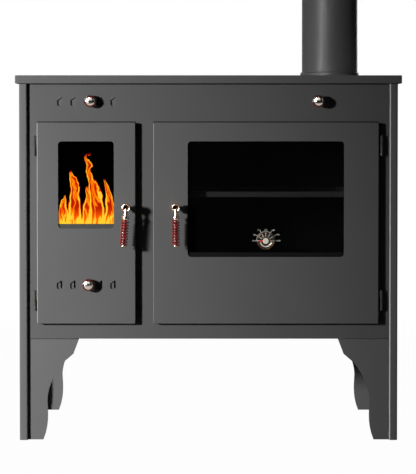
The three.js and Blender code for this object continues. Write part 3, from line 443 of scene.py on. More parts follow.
def brickFinish():
    # pressed fireclay: sandy grains, small pits and soot that thickens towards the top
    finish = Finish("firebrick")
    z = finish.axes()[2]
    grain = finish.noise(900)
    pits = finish.cells(230).between(0.12, 0.3)
    cloud = finish.noise(14, 4, 0.6)
    sootAndShadow = (z + 0.12 * cloud).between(0.48, 0.7)
    clay = finish.blend(0.6 * grain + 0.4 * cloud, (158, 130, 96), (205, 182, 146))
    pitted = finish.blend(1 - pits, clay, (104, 84, 62))
    sooty = finish.blend(0.85 * sootAndShadow, pitted, (34, 31, 29))
    return finish.surface(sooty, 0.92, bump=(0.5 * grain + pits, 0.5))


def metalFinish(name, colour, roughness):
    # polished metal with faint handling haze
    finish = Finish(name)
    smear = finish.noise(55, 4, 0.6)
    hazed = finish.blend(smear, colour, srgb(colour, 0.86))
    return finish.surface(hazed, roughness + 0.05 * smear, metallic=1.0, bump=(finish.noise(1200, 2), 0.004))


def bronzeFinish():
    # dark patina, worn through to bright bronze in small patches
    finish = Finish("bronze")
    worn = finish.noise(330, 3, 0.6).between(0.48, 0.62)
    patina = finish.blend(worn, (34, 24, 17), (128, 94, 62))
    return finish.surface(patina, 0.5 - 0.14 * worn, 0.1, 0.3, (worn, 0.05))


def wireFinish(name, bright, dull):
    # red enamel under a thick clear coat
    finish = Finish(name)
    smear = finish.noise(120)
    coat = {"Coat Weight": 1.0, "Coat Roughness": 0.03, "Coat IOR": 1.6}
    return finish.surface(finish.blend(smear, bright, dull), 0.5 + 0.06 * smear, 0.0, others=coat)


def turnedSteelFinish():
    # dull steel with the fine rings that a lathe leaves
    finish = Finish("hingeSteel")
    x, y, z = finish.axes()
    rings = finish.noise(1.0, 2, at=finish.point(x * 90, y * 90, z * 5200))
    smear = finish.noise(60)
    steel = finish.blend(smear, (76, 74, 72), (60, 58, 57))
    return finish.surface(steel, 0.5 + 0.1 * smear, 0.05, bump=(rings, 0.02))


def ropeFinish():
    # graphite-grey glass-fibre rope, its fibres finer than the braid that is in the mesh
    finish = Finish("ropeSeal")
    fibre = finish.noise(2600, 2)
    grey = finish.blend(0.5 * fibre + 0.5 * finish.noise(60), (34, 33, 32), (72, 70, 67))
    return finish.surface(grey, 0.95, bump=(fibre, 0.25), others={"Sheen Weight": 0.3})


def enamelFinish():
    # grey enamel with darker specks
    finish = Finish("trayEnamel")
    speck = finish.cells(420).between(0.06, 0.12)
    grey = finish.blend(1 - speck, (118, 118, 120), (160, 160, 164))
    return finish.surface(grey, 0.3, others={"Coat Weight": 0.4})


def darkGlassFinish():
    # tinted glass, see-through enough for the oven's shelf to show
    finish = Finish("ovenGlass")
    return finish.surface((6, 6, 7), 0.04 + 0.03 * finish.noise(12), others={"Alpha": 0.45})


def plainFinish(name, colour, roughness, metallic=0.0):
    finish = Finish(name)
    speckled = finish.blend(finish.noise(900, 2), colour, srgb(colour, 0.85))
    return finish.surface(speckled, roughness, 0.1, metallic)


flamePrint = {
    "left": -330.7, "right": -208.0, "bottom": 478.3, "top": 660.0, "lit": 0.3, "glow": 0.6,
    # each tongue: its middle, half width and top, with the window two units wide and one high
    "tongues": ((-0.78, 0.20, 0.36), (-0.42, 0.27, 0.66), (0.02, 0.22, 0.47), (0.30, 0.30, 0.88),
                (0.78, 0.24, 0.56)),
    "heat": ((0.0, (0, 0, 0)), (0.14, (70, 6, 0)), (0.34, (178, 26, 0)), (0.58, (250, 84, 0)),
             (0.8, (255, 138, 8)), (1.0, (255, 206, 48))),
}


def flameFinish(look):
    # Tongues of flame on black. A tongue's half width at height v is width * (1 - v / top) ** 0.6,
    # round a middle that noise bends further the higher it is; its rim is hotter than its heart.
    finish = Finish("fireGlass")
    x, _, z = finish.axes()
    wide = (look["right"] - look["left"]) * mm
    tall = (look["top"] - look["bottom"]) * mm
    u = (x - (look["left"] + look["right"]) / 2 * mm) / (wide / 2)
    v = (z - look["bottom"] * mm) / tall
    drift = finish.noise(1.0, 2, 0.4, at=finish.point(u * 0.9, v * 2.0, 4.6)) - 0.5
    curl = finish.noise(1.0, at=finish.point(u * 2.6, v * 4.0, 1.7)) - 0.5
    bent = u + drift * (0.25 + 1.7 * v) + curl * (0.1 + 0.75 * v)
    heat = 0.0
    for middle, width, top in look["tongues"]:
        rise = 1 - v / top
        depth = 1 - (bent - middle).size() / (width * rise.most(0.001) ** 0.6)
        rim = 1 - (depth - 0.2).size() * 4.5
        tongue = (rim.most(0.0) * 0.75 + 0.34 * depth.between(0.0, 0.3)) * rise.between(0.0, 0.1)
        heat = tongue.most(heat)
    # thin bright threads inside the tongues, and a hotter foot
    strands = finish.noise(1.0, at=finish.point(bent * 7.0, v * 3.4, 9.0))
    thread = (1 - (strands - 0.5).size() * 11).most(0.0)
    foot = 1 - v.between(0.0, 0.22)
    heat = heat + heat.between(0.05, 0.3) * (0.5 * thread + 0.35 * foot)
    colour = finish.ramp(heat, look["heat"])
    # the print glows by an emission, painted light: it is a picture on the glass, no lamp
    glow = {"Emission Color": colour, "Emission Strength": look["glow"]}
    return finish.surface(finish.blend(1 - look["lit"], colour, (0, 0, 0)), 0.08, 0.4, others=glow)


finishes = {
    "body_paint": paintFinish("bodyPaint", stovePaint),
    "flue_paint": fluePaintFinish(fluePaint),
    "hot_iron": ironFinish("hotIron", (52, 52, 54), 0.7, 0.22),
    "chamber_steel": chamberFinish(),
    "tray_enamel": enamelFinish(),
    "firebrick": brickFinish(),
    "hinge_steel": turnedSteelFinish(),
    "rope_seal": ropeFinish(),
    "fire_glass": flameFinish(flamePrint),
    "oven_glass": darkGlassFinish(),
    "bronze": bronzeFinish(),
    "nickel": metalFinish("nickel", (216, 186, 160), 0.2),
    "red_wire": wireFinish("redWire", (150, 7, 2), (112, 4, 1)),
    "pointer": plainFinish("pointerPaint", (226, 22, 8), 0.5),
}
# the knobs' brighter nickel and darker red wire are lit and shaded copies of the handles' finishes: a
# painted highlight on the caps and painted shade on the coils
knobNickel = metalFinish("knobNickel", (242, 230, 216), 0.14)
knobWire = wireFinish("knobWire", (92, 12, 7), (62, 7, 4))
dialWhite = plainFinish("dialWhite", (200, 198, 192), 0.5)
hubCream = plainFinish("hubCream", (218, 209, 194), 0.5)
boreBrown = plainFinish("boreBrown", (64, 40, 28), 0.6)
blackSteel = plainFinish("blackSteel", (26, 24, 23), 0.45, 0.6)
foldPaint = wornPaintFinish("foldPaint", foldedPaint)
# copies of the stove paint with painted shade and light: the front panel is darker than the doors,
# the posts and brackets are lighter, and the right post's left edge has a painted highlight
frontShade = {**stovePaint, "colour": (80, 80, 80)}
postShade = {**stovePaint, "colour": (89, 89, 89)}
postPaint = {**postShade, "rubbed": (190, 190, 189), "worn": (400.0,), "wornReach": (0.8, 1.5),
             "frontY": foldedPaint["frontY"]}
legPaint = paintFinish("legPaint", postShade)
# painted shadows: dark lines over the two doors, and one along the left edge of each air slot, 12 mm high
doorShadowLines = [(-268.8, 108.4, 701.5, 703.5), (126.5, 248.0, 701.5, 703.5)]
topSlotShadowLines, doorSlotShadowLines = ([(x, 0.3, low, low + 12) for x in (-333.7, -304.3, -245.5, -216.1)]
                             for low in (739, 336))
ownPaint = {
    "leg_bracket_front_left": legPaint,
    "leg_bracket_front_right": legPaint,
    "side_panel_left": legPaint,
    "front_panel": paintFinish("frontPaint", frontShade, doorShadowLines + topSlotShadowLines),
    "fire_door_panel": paintFinish("doorPaint", stovePaint, doorSlotShadowLines),
    "side_panel_right": wornPaintFinish("postPaint", postPaint),
    # the glass channels get darker copies of the stove paint: painted shade for their places behind the
    # door's face
    "fire_glass_channel": paintFinish("fireChannelPaint", {**stovePaint, "colour": (66, 66, 65)}),
    "oven_glass_channel": paintFinish("ovenChannelPaint", {**stovePaint, "colour": (24, 24, 24)}),
}

slotOfNode = {part["node"]: part["material_slot"] for part in frame["record"]["subparts"]}
for nodeName, node in cadNodes.items():
    node.data.materials.clear()
    node.data.materials.append(ownPaint.get(nodeName, finishes[slotOfNode[nodeName]]))
print("finishes assigned")


# Edges of the frame's own nodes

# for each width, the nodes whose edges are rounded by it
edgeWidths = {
    0.3: "fire_glass_channel oven_glass_channel fire_glass_clip oven_glass_clip top_air_slider "
         "door_air_slider",
    0.5: "hob_plate hotplate_ring hotplate_lid fire_door_panel oven_door_panel ash_pan oven_box oven_tray "
         "oven_rail_left oven_rail_right smoke_baffle",
    0.6: "front_panel firebox_shell fire_door_glass oven_door_glass",
    0.7: "side_panel_left side_panel_right leg_bracket_front_left leg_bracket_front_right "
         "leg_bracket_rear_left leg_bracket_rear_right",
    0.8: "back_panel grate_frame",
    1.2: "grate",
    1.6: "firebrick_left firebrick_right firebrick_back",
}


def doorFolds(left, leftIn, rightIn, right):
    # boxes round the four outer edges of a door's front
    sides = ((left, leftIn, 258, 702), (rightIn, right, 258, 702))
    ends = ((left, right, 258, 258.5), (left, right, 701.2, 702))
    return [((x, -234, z), (farX, -225, farZ)) for x, farX, z, farZ in sides + ends]


# for each folded sheet its bend radius, and boxes that hold the edges which have it
folds = {
    "fire_door_panel": (2.2, doorFolds(-378, -376.5, -161, -160)),
    "oven_door_panel": (2.2, doorFolds(-122, -121, 374, 375)),
    "front_panel": (1.2, [((-400, -217, 223), (400, -215, 224))]),
    "leg_bracket_front_left": (1.2, [((-400, -216, 223), (-280, -215, 224))]),
    "leg_bracket_front_right": (1.2, [((280, -216, 223), (400, -215, 224))]),
    "side_panel_left": (2.0, [((-418, -226, 1), (-398, -224, 786))]),
    "side_panel_right": (2.0, [((398, -226, 1), (418, -224, 786))]),
}
edgeStack = {"weld": 0.00001, "foldSteps": 4, "edgeSteps": 2, "roundAbove": 40, "sharpAbove": 35}


def geometryMaker(name):
    tree = bpy.data.node_groups.new(name, "GeometryNodeTree")
    for way in ("INPUT", "OUTPUT"):
        tree.interface.new_socket("Geometry", in_out=way, socket_type="NodeSocketGeometry")
    return NodeMaker(tree)


def steepEdges(maker, degrees):
    # true for every edge that turns by more than this angle
    turn = maker.node("GeometryNodeInputMeshEdgeAngle")["Unsigned Angle"]
    return maker.node("FunctionNodeCompare", {"A": turn, "B": math.radians(degrees)})["Result"]


def shadingBy(degrees):
    # smooth faces, with the steep edges kept sharp
    maker = geometryMaker("smoothFaces")
    start = maker.node("NodeGroupInput")[0]
    faces = maker.node("GeometryNodeSetShadeSmooth", {"Geometry": start})["Geometry"]
    sockets = {"Geometry": faces, "Selection": steepEdges(maker, degrees), "Shade Smooth": False}
    edges = maker.node("GeometryNodeSetShadeSmooth", sockets, {"domain": "EDGE"})["Geometry"]
    maker.node("NodeGroupOutput", {0: edges})
    return maker.tree


def markFolds(degrees, boxes):
    # a bevel weight of 1 on every steep edge whose middle lies in one of the boxes: there the
    # largest of |place - centre| - half, over the three axes, is below nought
    maker = geometryMaker("foldedEdges")
    flow = maker.node("NodeGroupInput")[0]
    steep = steepEdges(maker, degrees)
    place = maker.node("GeometryNodeInputPosition")[0]
    for low, high in np.array(boxes) * mm:
        past = place
        steps = (("SUBTRACT", {1: (low + high) / 2}), ("ABSOLUTE", {}), ("SUBTRACT", {1: (high - low) / 2}))
        for operation, second in steps:
            past = maker.node("ShaderNodeVectorMath", {0: past, **second}, {"operation": operation})[0]
        x, y, z = maker.split(past)
        inside = maker.node("FunctionNodeCompare", {"A": x.most(y).most(z)}, {"operation": "LESS_THAN"})[0]
        both = maker.node("FunctionNodeBooleanMath", {0: inside, 1: steep})[0]
        sockets = {"Geometry": flow, "Selection": both, "Name": "bevel_weight_edge", "Value": 1.0}
        settings = {"data_type": "FLOAT", "domain": "EDGE"}
        flow = maker.node("GeometryNodeStoreNamedAttribute", sockets, settings)["Geometry"]
    maker.node("NodeGroupOutput", {0: flow})
    return maker.tree


smoothFaces = shadingBy(edgeStack["sharpAbove"])
roundAbove = edgeStack["roundAbove"]
for width, nodeNames in edgeWidths.items():
    for nodeName in nodeNames.split():
        node = cadNodes[nodeName]
        stack = node.modifiers
        setAll(stack.new("weld", "WELD"), {"merge_threshold": edgeStack["weld"]})
        if nodeName in folds:
            bend, boxes = folds[nodeName]
            setAll(stack.new("marks", "NODES"), {"node_group": markFolds(roundAbove, boxes)})
            setAll(stack.new("folds", "BEVEL"), {"width": bend * mm, "segments": edgeStack["foldSteps"],
                                                 "limit_method": "WEIGHT", "material": 1})
            node.data.materials.append(foldPaint)
        limit = {"limit_method": "ANGLE", "angle_limit": math.radians(roundAbove)}
        bevel = {"width": width * mm, "segments": edgeStack["edgeSteps"]}
        setAll(stack.new("edges", "BEVEL"), {**bevel, **limit})
        setAll(stack.new("smooth", "NODES"), {"node_group": smoothFaces})
        setAll(stack.new("flats", "WEIGHTED_NORMAL"), {"keep_sharp": True})
print("edges rounded")


# The seam between the front panel and each front bracket, a thin black strip: painted shade along the
# panel's lower edge

seam = {"inner": 287.5, "outer": 398.6, "front": -216.05, "back": -214.2, "low": 222.8, "high": 224.2,
        "edge": 0.2}
seamParts = [slab((side * seam["inner"], seam["front"], seam["low"]),
                  (side * seam["outer"], seam["back"], seam["high"]), seam["edge"]) for side in (-1, 1)]
addPiece("frontSeamShade", seamParts, "root", "body_paint", material=blackSteel)


# Flue pipe and collar

flue = {"centre": (290.0, 163.0, 0.0), "bore": 65.0, "outer": 67.0, "foot": 809.0, "top": 1059.0,
        "taper": 14.0, "hob": 805.0, "flange": 81.3, "flangeThick": 4.0, "neck": 70.3, "collarTop": 821.0,
        "lip": 1.5, "socket": 67.3, "spigotIn": 62.0, "spigotOut": 64.7, "spigotEnd": 799.0}


def flueProfiles():
    # the pipe and the collar that holds it, as radius and height
    bore, outer, foot, top = pick(flue, "bore outer foot top")
    pipe = [(bore, foot), (outer - 0.6, foot), (outer, foot + flue["taper"]), (outer, top), (bore, top),
            (bore, foot)]
    hob, flange, neck, crown, lip = pick(flue, "hob flange neck collarTop lip")
    inner, spigot, end, socket = pick(flue, "spigotIn spigotOut spigotEnd socket")
    flangeTop = hob + flue["flangeThick"]
    collar = [(inner, end), (spigot - 0.1, end), (spigot, hob), (flange, hob), (flange, flangeTop),
              (neck + lip, flangeTop + 0.6), (neck, crown - lip), (socket + lip, crown), (socket, crown),
              (socket, foot), (inner, foot), (inner, end)]
    return softened(pipe, 0.7), softened(collar, 1.1)


for part, profile in zip(("Pipe", "Collar"), flueProfiles()):
    grid = turned(profile, flue["centre"], "z", 128)
    addPiece("flue" + part, [grid], "root", "flue_paint", ["flue_" + part.lower()])
print("flue made")


# Air knobs and the bypass pull

# the slots' slanted tops: a small gusset stands in the upper left corner of each
airSlot = {"pitch": 29.4, "middle": -268.8, "wide": 11.4, "high": 21.0, "slant": 8.3, "grip": 1.0,
           "places": (-2, -1, 1, 2),
           # each row's height, its gussets' front and back, and the body that they ride on
           "rows": {"topAirSlots": (748.0, -215.9, -213.1, "root"),
                    "doorAirSlots": (345.0, -232.9, -230.1, "fire_door")}}


def slotGussets(name, height, front, back, body):
    # a triangle between two levels, closed at both by a fan from its middle
    half, top, grip = airSlot["wide"] / 2, airSlot["high"] / 2, airSlot["grip"]
    low = top - airSlot["slant"]
    left = -half - grip
    outline = np.array([(left, top + grip), (left, low), (-half, low), (half, top), (half, top + grip)])
    grids = []
    for place in airSlot["places"]:
        placed = outline + (airSlot["middle"] + place * airSlot["pitch"], height)
        grids.append(layered(placed, placed.mean(0), [(0, front), (1, front), (1, back), (0, back)]))
    addPiece(name, grids, body, "body_paint")


for name, row in airSlot["rows"].items():
    slotGussets(name, *row)

knob = {"stem": 3.5, "collar": 8.0, "collarFrom": 3.0, "coilFrom": 5.8, "gap": 0.3, "core": 7.5, "cap": 9.7,
        "capRim": 1.2, "capBevel": (0.4, 0.5), "capDome": 2.8, "coil": 11.1, "wire": 2.2, "pitch": 5.1,
        "turns": 2.0}
bypass = {"x": 241.5, "face": -223.0, "z": 748.0, "rod": 4.0, "end": 163.0,
          "flap": ((220, 93, 743.3), (360, 233, 745.3))}


def knobProfile(foot):
    # stem, collar, core and domed cap, as radius and distance out from the face; foot is the
    # stem's reach behind the face
    stem, collar, core, cap = pick(knob, "stem collar core cap")
    collarFrom, collarTo = knob["collarFrom"], knob["coilFrom"] - knob["gap"]
    capFrom = knob["coilFrom"] + knob["pitch"] * knob["turns"] + 2 * knob["wire"] + knob["gap"]
    capTo = capFrom + knob["capRim"]
    inward, outward = knob["capBevel"]
    side = [(0, -foot), (stem, -foot), (stem, collarFrom), (collar, collarFrom), (collar, collarTo),
            (core, collarTo), (core, capFrom), (cap - inward, capFrom), (cap, capFrom + outward),
            (cap, capTo)]
    return np.concatenate([softened(side, 0.4), dome(cap, capTo, knob["capDome"], 14)[1:]])


def airKnob(name, place, foot, body, coreNode, coilNode, extra=()):
    # distances out from the face become -Y
    core = turned(knobProfile(foot) * [1, -1], place, "y", 72)
    addPiece(name + "Core", [core, *extra], body, "nickel", [coreNode], knobNickel)
    start = np.array(place) - (0, knob["coilFrom"] + knob["wire"], 0)
    wire = woundWire(knob, 40)[..., [0, 2, 1]] + start * mm
    addPiece(name + "Wire", [wire], body, "red_wire", [coilNode], knobWire)


airKnob("topAirKnob", (-259.5, -216.0, 748.0), 3.3, "top_air", "top_air_knob", "top_air_coil")
airKnob("doorAirKnob", (-263.5, -233.0, 345.0), 3.3, "door_air", "door_air_knob", "door_air_coil")
pullX, face, pullZ, rod, end = pick(bypass, "x face z rod end")
pullRod = turned(softened([(0, face), (rod, face), (rod, end), (0, end)], 0.5), (pullX, 0, pullZ), "y", 32)
airKnob("bypassKnob", (pullX, face, pullZ), 3.0, "bypass", "bypass_damper", "bypass_coil",
        [slab(*bypass["flap"], 0.6), pullRod])
print("knobs made")


# Door handles

handle = {
    "face": -233.0, "z": 515.0, "standoff": 32.0, "spindle": 4.5, "rose": 6.6, "roseHeight": 3.0,
    "head": 9.4, "headBack": 20.0, "headFront": 34.0, "headRound": 2.4, "bore": 5.6,
    "boreDepth": 9.0, "boreMouth": 2.2, "linerGap": 0.05, "liner": 0.3,
    "rodTop": 1.6, "neck": 4.5, "waist": 12.0, "flareFrom": 15.6, "flareTo": 19.4, "collar": 7.5,
    "collarHigh": 2.4, "gripStart": 26.7, "core": 3.9, "cap": 6.8, "capRim": 1.4, "capDome": 2.6,
    "coil": 6.95, "wire": 1.8, "pitch": 6.094, "turns": 8.5, "gap": 0.3,
    "camFrom": 20.3, "camThick": 4.0, "camHub": 6.2,
}


def tipped(points, degrees):
    # turned about the spindle, the grip's lower end towards the left
    angle = math.radians(degrees)
    cosine, sine = math.cos(angle), math.sin(angle)
    x, y, z = np.moveaxis(points, -1, 0)
    return joined(cosine * x + sine * z, y, cosine * z - sine * x)


def bossProfile():
    # spindle, rose and dished head, as radius and distance from the door's face
    spindle, rose, head, bore = pick(handle, "spindle rose head bore")
    front, back, lift = -handle["headFront"], -handle["headBack"], -handle["roseHeight"]
    end = handle["camFrom"] + handle["camThick"]
    floor = front + handle["boreDepth"]
    curve = np.linspace(0, math.pi, 13)
    rim = joined((head + bore) / 2 + (head - bore) / 2 * np.cos(curve),
                 front + handle["headRound"] * (1 - np.sin(curve)))
    stem = [(0, end), (spindle, end), (spindle, -handle["gap"]), (rose, -handle["gap"]), (rose - 0.8, lift),
            (spindle, lift), (spindle, back), (head - 1.2, back), (head, back - 2.5), tuple(rim[0])]
    return np.concatenate([softened(stem, 0.9), rim[1:], [(bore, floor), (0, floor)]])


def neckProfile():
    # rod, flare and collar, as radius and height; the rod's round top shows inside the head's bore
    neck, collar, rodTop, start = pick(handle, "neck collar rodTop gripStart")
    arc = quarter(12)
    top = joined(neck * np.sin(arc), -rodTop + rodTop * (np.cos(arc) - 1))
    ease = np.linspace(0, 1, 12)
    swell = neck + (collar - neck) * (1 - np.cos(math.pi * ease)) / 2
    flare = joined(swell, -handle["flareFrom"] - (handle["flareTo"] - handle["flareFrom"]) * ease)
    band = [flare[-1], (collar, handle["collarHigh"] - start), (collar - 1.1, -start), (0, -start)]
    return np.concatenate([top, [(neck - 0.25, -handle["waist"])], flare, softened(band, 0.7)[1:]])


def camGrid(side, reach):
    # the latch cam: a round hub drawn out to a blunt tongue
    hub, thick = pick(handle, "camHub camThick")
    arc = np.linspace(math.pi / 2, 3 * math.pi / 2, 14)
    tongue = [(reach - hub / 2, -hub), (reach, -hub / 4), (reach, hub / 4)]
    outline = np.concatenate([hub * circle(arc), tongue]) * [side, 1]
    levels = [(0, 0.0), (0.96, 0.0), (1, 0.4), (1, thick - 0.4), (0.96, thick), (0, thick)]
    return layered(outline, np.zeros(2), [(share, handle["camFrom"] + depth) for share, depth in levels])


def capAndCore():
    # the grip's end cap and the dark rod inside the coil, as radius and height
    cap, core, start, rim = pick(handle, "cap core gripStart capRim")
    end = -(start + 2 * handle["gap"] + handle["pitch"] * handle["turns"] + 2 * handle["wire"])
    side = softened([(0, end), (cap, end), (cap, end - rim)], 0.5)
    capProfile = np.concatenate([side, dome(cap, end - rim, -handle["capDome"], 12)[1:]])
    return capProfile, [(0, -start), (core, -start), (core, end), (0, end)]


def linerProfile():
    # the brown lining of the head's bore
    gap, thick, front = pick(handle, "linerGap liner headFront")
    floor, mouth = handle["boreDepth"] - front - gap, handle["boreMouth"] - front
    outer = handle["bore"] - gap
    inner, step = outer - thick, floor - thick
    return [(0, floor), (outer, floor), (outer, mouth), (inner, mouth), (inner, step), (0, step)]


def doorHandle(name, x, tilt, side, camReach, body, armNode, coilNode):
    centre, hung = (0, 0, 0), (0, -handle["standoff"], 0)
    capProfile, coreProfile = capAndCore()
    parts = [
        turned(bossProfile(), centre, "y", 72), turned(neckProfile(), hung, "z", 64),
        turned(capProfile, hung, "z", 64), camGrid(side, camReach),
        turned(coreProfile, hung, "z", 40), turned(linerProfile(), centre, "y", 48),
    ]
    face = np.array([x, handle["face"], handle["z"]]) * mm
    # the rod inside the coil is black steel: painted shade that keeps the gaps between the turns dark
    addPiece(name + "Arm", [tipped(part, tilt) + face for part in parts], body, "nickel", [armNode],
             others=[(4, blackSteel), (5, boreBrown)])
    start = np.array([0, -handle["standoff"], -handle["gripStart"] - handle["gap"] - handle["wire"]]) * mm
    wire = woundWire(handle, 36) * [-1, -1, 1] + start
    addPiece(name + "Wire", [tipped(wire, tilt) + face], body, "red_wire", [coilNode])


doorHandle("fireHandle", -180.0, 4.0, 1, 7.6, "fire_handle", "fire_handle", "fire_handle_coil")
doorHandle("ovenHandle", -71.5, 0.0, -1, 38.0, "oven_handle", "oven_handle", "oven_handle_coil")
print("handles made")


# Hinges

hinge = {"y": -225.0, "radius": 4.0, "height": 22.0, "split": 1.0, "pin": 2.0, "bore": 2.5, "pinUp": 18.0,
         "web": 3.0, "webIn": 3.0, "webOut": 6.3, "fireX": -383.5, "ovenX": 380.8,
         "centres": {"upper": 650.5, "lower": 309.5}, "panel": -216.0}


def hingePair(door, x, towards, place, centre):
    # the pin rides on the body and its knuckle on the door; profiles are radius and height
    radius, pin, bore, y, web = pick(hinge, "radius pin bore y web")
    split, above = centre - hinge["split"] / 2, centre + hinge["split"] / 2
    low, top = split - hinge["height"], above + hinge["height"]
    pinTop, boreTop = split + hinge["pinUp"], above + hinge["pinUp"]
    fixed = [(0, low), (radius - 0.5, low), (radius, low + 0.5), (radius, split - 0.4),
             (radius - 0.4, split), (pin, split), (pin, pinTop - 1), (0, pinTop)]
    moving = [(bore, above), (radius - 0.4, above), (radius, above + 0.4), (radius, top - 1.2),
              (radius - 1.4, top), (0, top), (0, boreTop), (bore, boreTop), (bore, above)]
    webs = (slab((x - web / 2, y, low), (x + web / 2, hinge["panel"], split), 0.3),
            slab((x + towards * hinge["webIn"], y - web / 2, above),
                 (x + towards * hinge["webOut"], y + web / 2, top), 0.3))
    for kind, profile, soft, flat, body in (("pin", fixed, 0.25, webs[0], "root"),
                                            ("knuckle", moving, 0.3, webs[1], f"{door}_door")):
        grids = [turned(softened(profile, soft), (x, y, 0), "z", 40), flat]
        name = f"{door}Hinge{place}{kind.title()}"
        addPiece(name, grids, body, "hinge_steel", [f"{door}_hinge_{kind}_{place}"])


for place, centre in hinge["centres"].items():
    hingePair("fire", hinge["fireX"], 1, place, centre)
    hingePair("oven", hinge["ovenX"], -1, place, centre)
print("hinges made")


# Rope seals behind the doors

rope = {"inset": 2.3, "width": 8.0, "front": -229.7, "back": -216.3, "corner": 12.0, "strand": 6.0,
        "stepsPerStrand": 6, "braid": 0.14, "bottom": 258.3, "top": 701.5}


def ropeSeal(name, left, right, node):
    # a flattened tube round a rounded rectangle, its skin swelling along two crossing spirals
    half, corner = rope["width"] / 2, rope["corner"]
    inset = rope["inset"] + half + corner
    arc = quarter(9)
    x0, x1, z0, z1 = left + inset, right - inset, rope["bottom"] + inset, rope["top"] - inset
    quarters = [(x1, z0, -math.pi / 2), (x1, z1, 0), (x0, z1, math.pi / 2), (x0, z0, math.pi)]
    loop = np.concatenate([np.array([x, z]) + corner * circle(start + arc) for x, z, start in quarters])
    loop = np.concatenate([loop, loop[:1]])
    length = np.concatenate([[0], np.cumsum(np.linalg.norm(np.diff(loop, axis=0), axis=1))])
    strands = int(round(length[-1] / rope["strand"]))
    along = np.linspace(0, length[-1], strands * rope["stepsPerStrand"], endpoint=False)
    line = joined(np.interp(along, length, loop[:, 0]), np.interp(along, length, loop[:, 1]))
    ahead = np.roll(line, -2, axis=0) - np.roll(line, 2, axis=0)
    ahead /= np.linalg.norm(ahead, axis=1)[:, None]
    path = joined(line[:, 0], (rope["front"] + rope["back"]) / 2, line[:, 1])
    outward = joined(ahead[:, 1], 0.0, -ahead[:, 0])
    depthwise = np.tile([0.0, 1.0, 0.0], (len(along), 1))
    around = ring(16)
    phase = fullTurn * strands * along[:, None] / length[-1]
    weave = np.maximum(np.abs(np.sin(phase / 2 + around * 2)), np.abs(np.sin(phase / 2 - around * 2)))
    swell = 1 - rope["braid"] + rope["braid"] * weave
    section = swell[..., None] * blunted(around, half, (rope["back"] - rope["front"]) / 2)
    points = sweep(path, outward, depthwise, section) * mm
    body = node.replace("_gasket", "")
    addPiece(name, [points], body, "rope_seal", [node], wrapRows=True, sharpAbove=60)


ropeSeal("fireRope", -377.2, -160.4, "fire_door_gasket")
ropeSeal("ovenRope", -121.5, 374.5, "oven_door_gasket")
print("rope seals made")


# Oven thermometer

dial = {"x": 126.15, "z": 441.0, "glass": -228.2, "gap": 0.3, "radius": 19.7, "rim": 3.6, "back": 1.0,
        "depth": 4.0, "stem": 4.0, "stemReach": 16.0, "hub": 6.6, "pin": 2.2, "spiralIn": 8.2,
        "spiralOut": 13.6, "spiralTurns": 2.0, "strip": 1.9, "stripDeep": 1.6, "bladeHalf": 1.1,
        "bladeReach": 15.0, "bladeTip": 13.9, "scaleRadius": 20.6, "tickIn": 9.5, "tickOut": 25.0,
        "tickHalf": 0.5, "ink": 0.06, "arc": (-0.3, 0.35), "shortTick": 1.0, "numberSize": 4.5,
        "numberOff": 0.04,
        # each number with its angle and its distance from the dial's middle
        "numbers": ((50, 180, 27.8), (100, 153, 28.4), (150, 123, 27.8), (200, 90, 23.8), (250, 55, 28.4),
                    (300, 27, 29.6), (350, 0, 28.8))}
dialAxis = (dial["x"], 0, dial["z"])
dialMiddle = np.array([dial["x"], dial["z"]])
caseBack = dial["glass"] - dial["gap"]
caseFront = caseBack - dial["depth"]


def bimetalFinish():
    # the thermometer's strip: dark, with a painted highlight along its lower half
    finish = Finish("bimetal")
    x, _, z = finish.axes()
    fromX, fromZ = x - dial["x"] * mm, dial["z"] * mm - z
    radius = (fromX * fromX + fromZ * fromZ) ** 0.5
    # painted highlight: the lower half of the strip's outer turn is light
    bright = fromZ.between(0.002, 0.005) * radius.between(0.0105, 0.0112)
    haze = finish.noise(300)
    strip = finish.blend(bright * (0.8 + 0.2 * haze), (70, 56, 46), (244, 236, 220))
    return finish.surface(strip, 0.4 + 0.1 * haze, 0.2, 0.25)


def dialCase():
    # the cup with its stem through the pane, and the black dish in it
    stem, radius, pin = pick(dial, "stem radius pin")
    inner, floor, end = radius - dial["rim"], caseBack - dial["back"], caseBack + dial["stemReach"]
    cup = softened([
        (0, end), (stem, end), (stem, caseBack), (radius, caseBack), (radius, caseFront + 1.2),
        (radius - 1.1, caseFront), (inner + 0.8, caseFront), (inner, caseFront + 0.8), (inner, floor),
        (pin, floor), (pin, caseFront), (0, caseFront),
    ], 0.5)
    low, high = floor - 0.05, floor - 0.2
    dish = [(pin + 0.1, low), (pin + 0.1, high), (inner - 0.1, high), (inner - 0.1, low), (pin + 0.1, low)]
    grids = [turned(cup, dialAxis, "y", 96), turned(dish, dialAxis, "y", 64)]
    addPiece("dialCase", grids, "oven_door", "bronze", ["thermometer_case"], others=[(1, blackSteel)])


def dialSpiral():
    # the strip's middle line has radius inner + (outer - inner) t at angle 2 pi turns t
    share = np.linspace(0, 1, 121)
    angle = fullTurn * dial["spiralTurns"] * share
    radius = dial["spiralIn"] + (dial["spiralOut"] - dial["spiralIn"]) * share
    outward = joined(np.cos(angle), 0.0, np.sin(angle))
    level = caseBack - dial["back"] - dial["gap"] - dial["stripDeep"] / 2
    centres = radius[:, None] * outward + np.array([dial["x"], level, dial["z"]])
    closing = np.concatenate([[0.0], np.ones(119), [0.0]])[:, None, None]
    section = closing * blunted(ring(12), dial["strip"] / 2, dial["stripDeep"] / 2)
    strip = sweep(centres, outward, np.tile([0.0, 1.0, 0.0], (121, 1)), section) * mm
    addPiece("dialSpiral", [strip], "oven_door", "nickel", ["thermometer_spiral"], bimetalFinish())


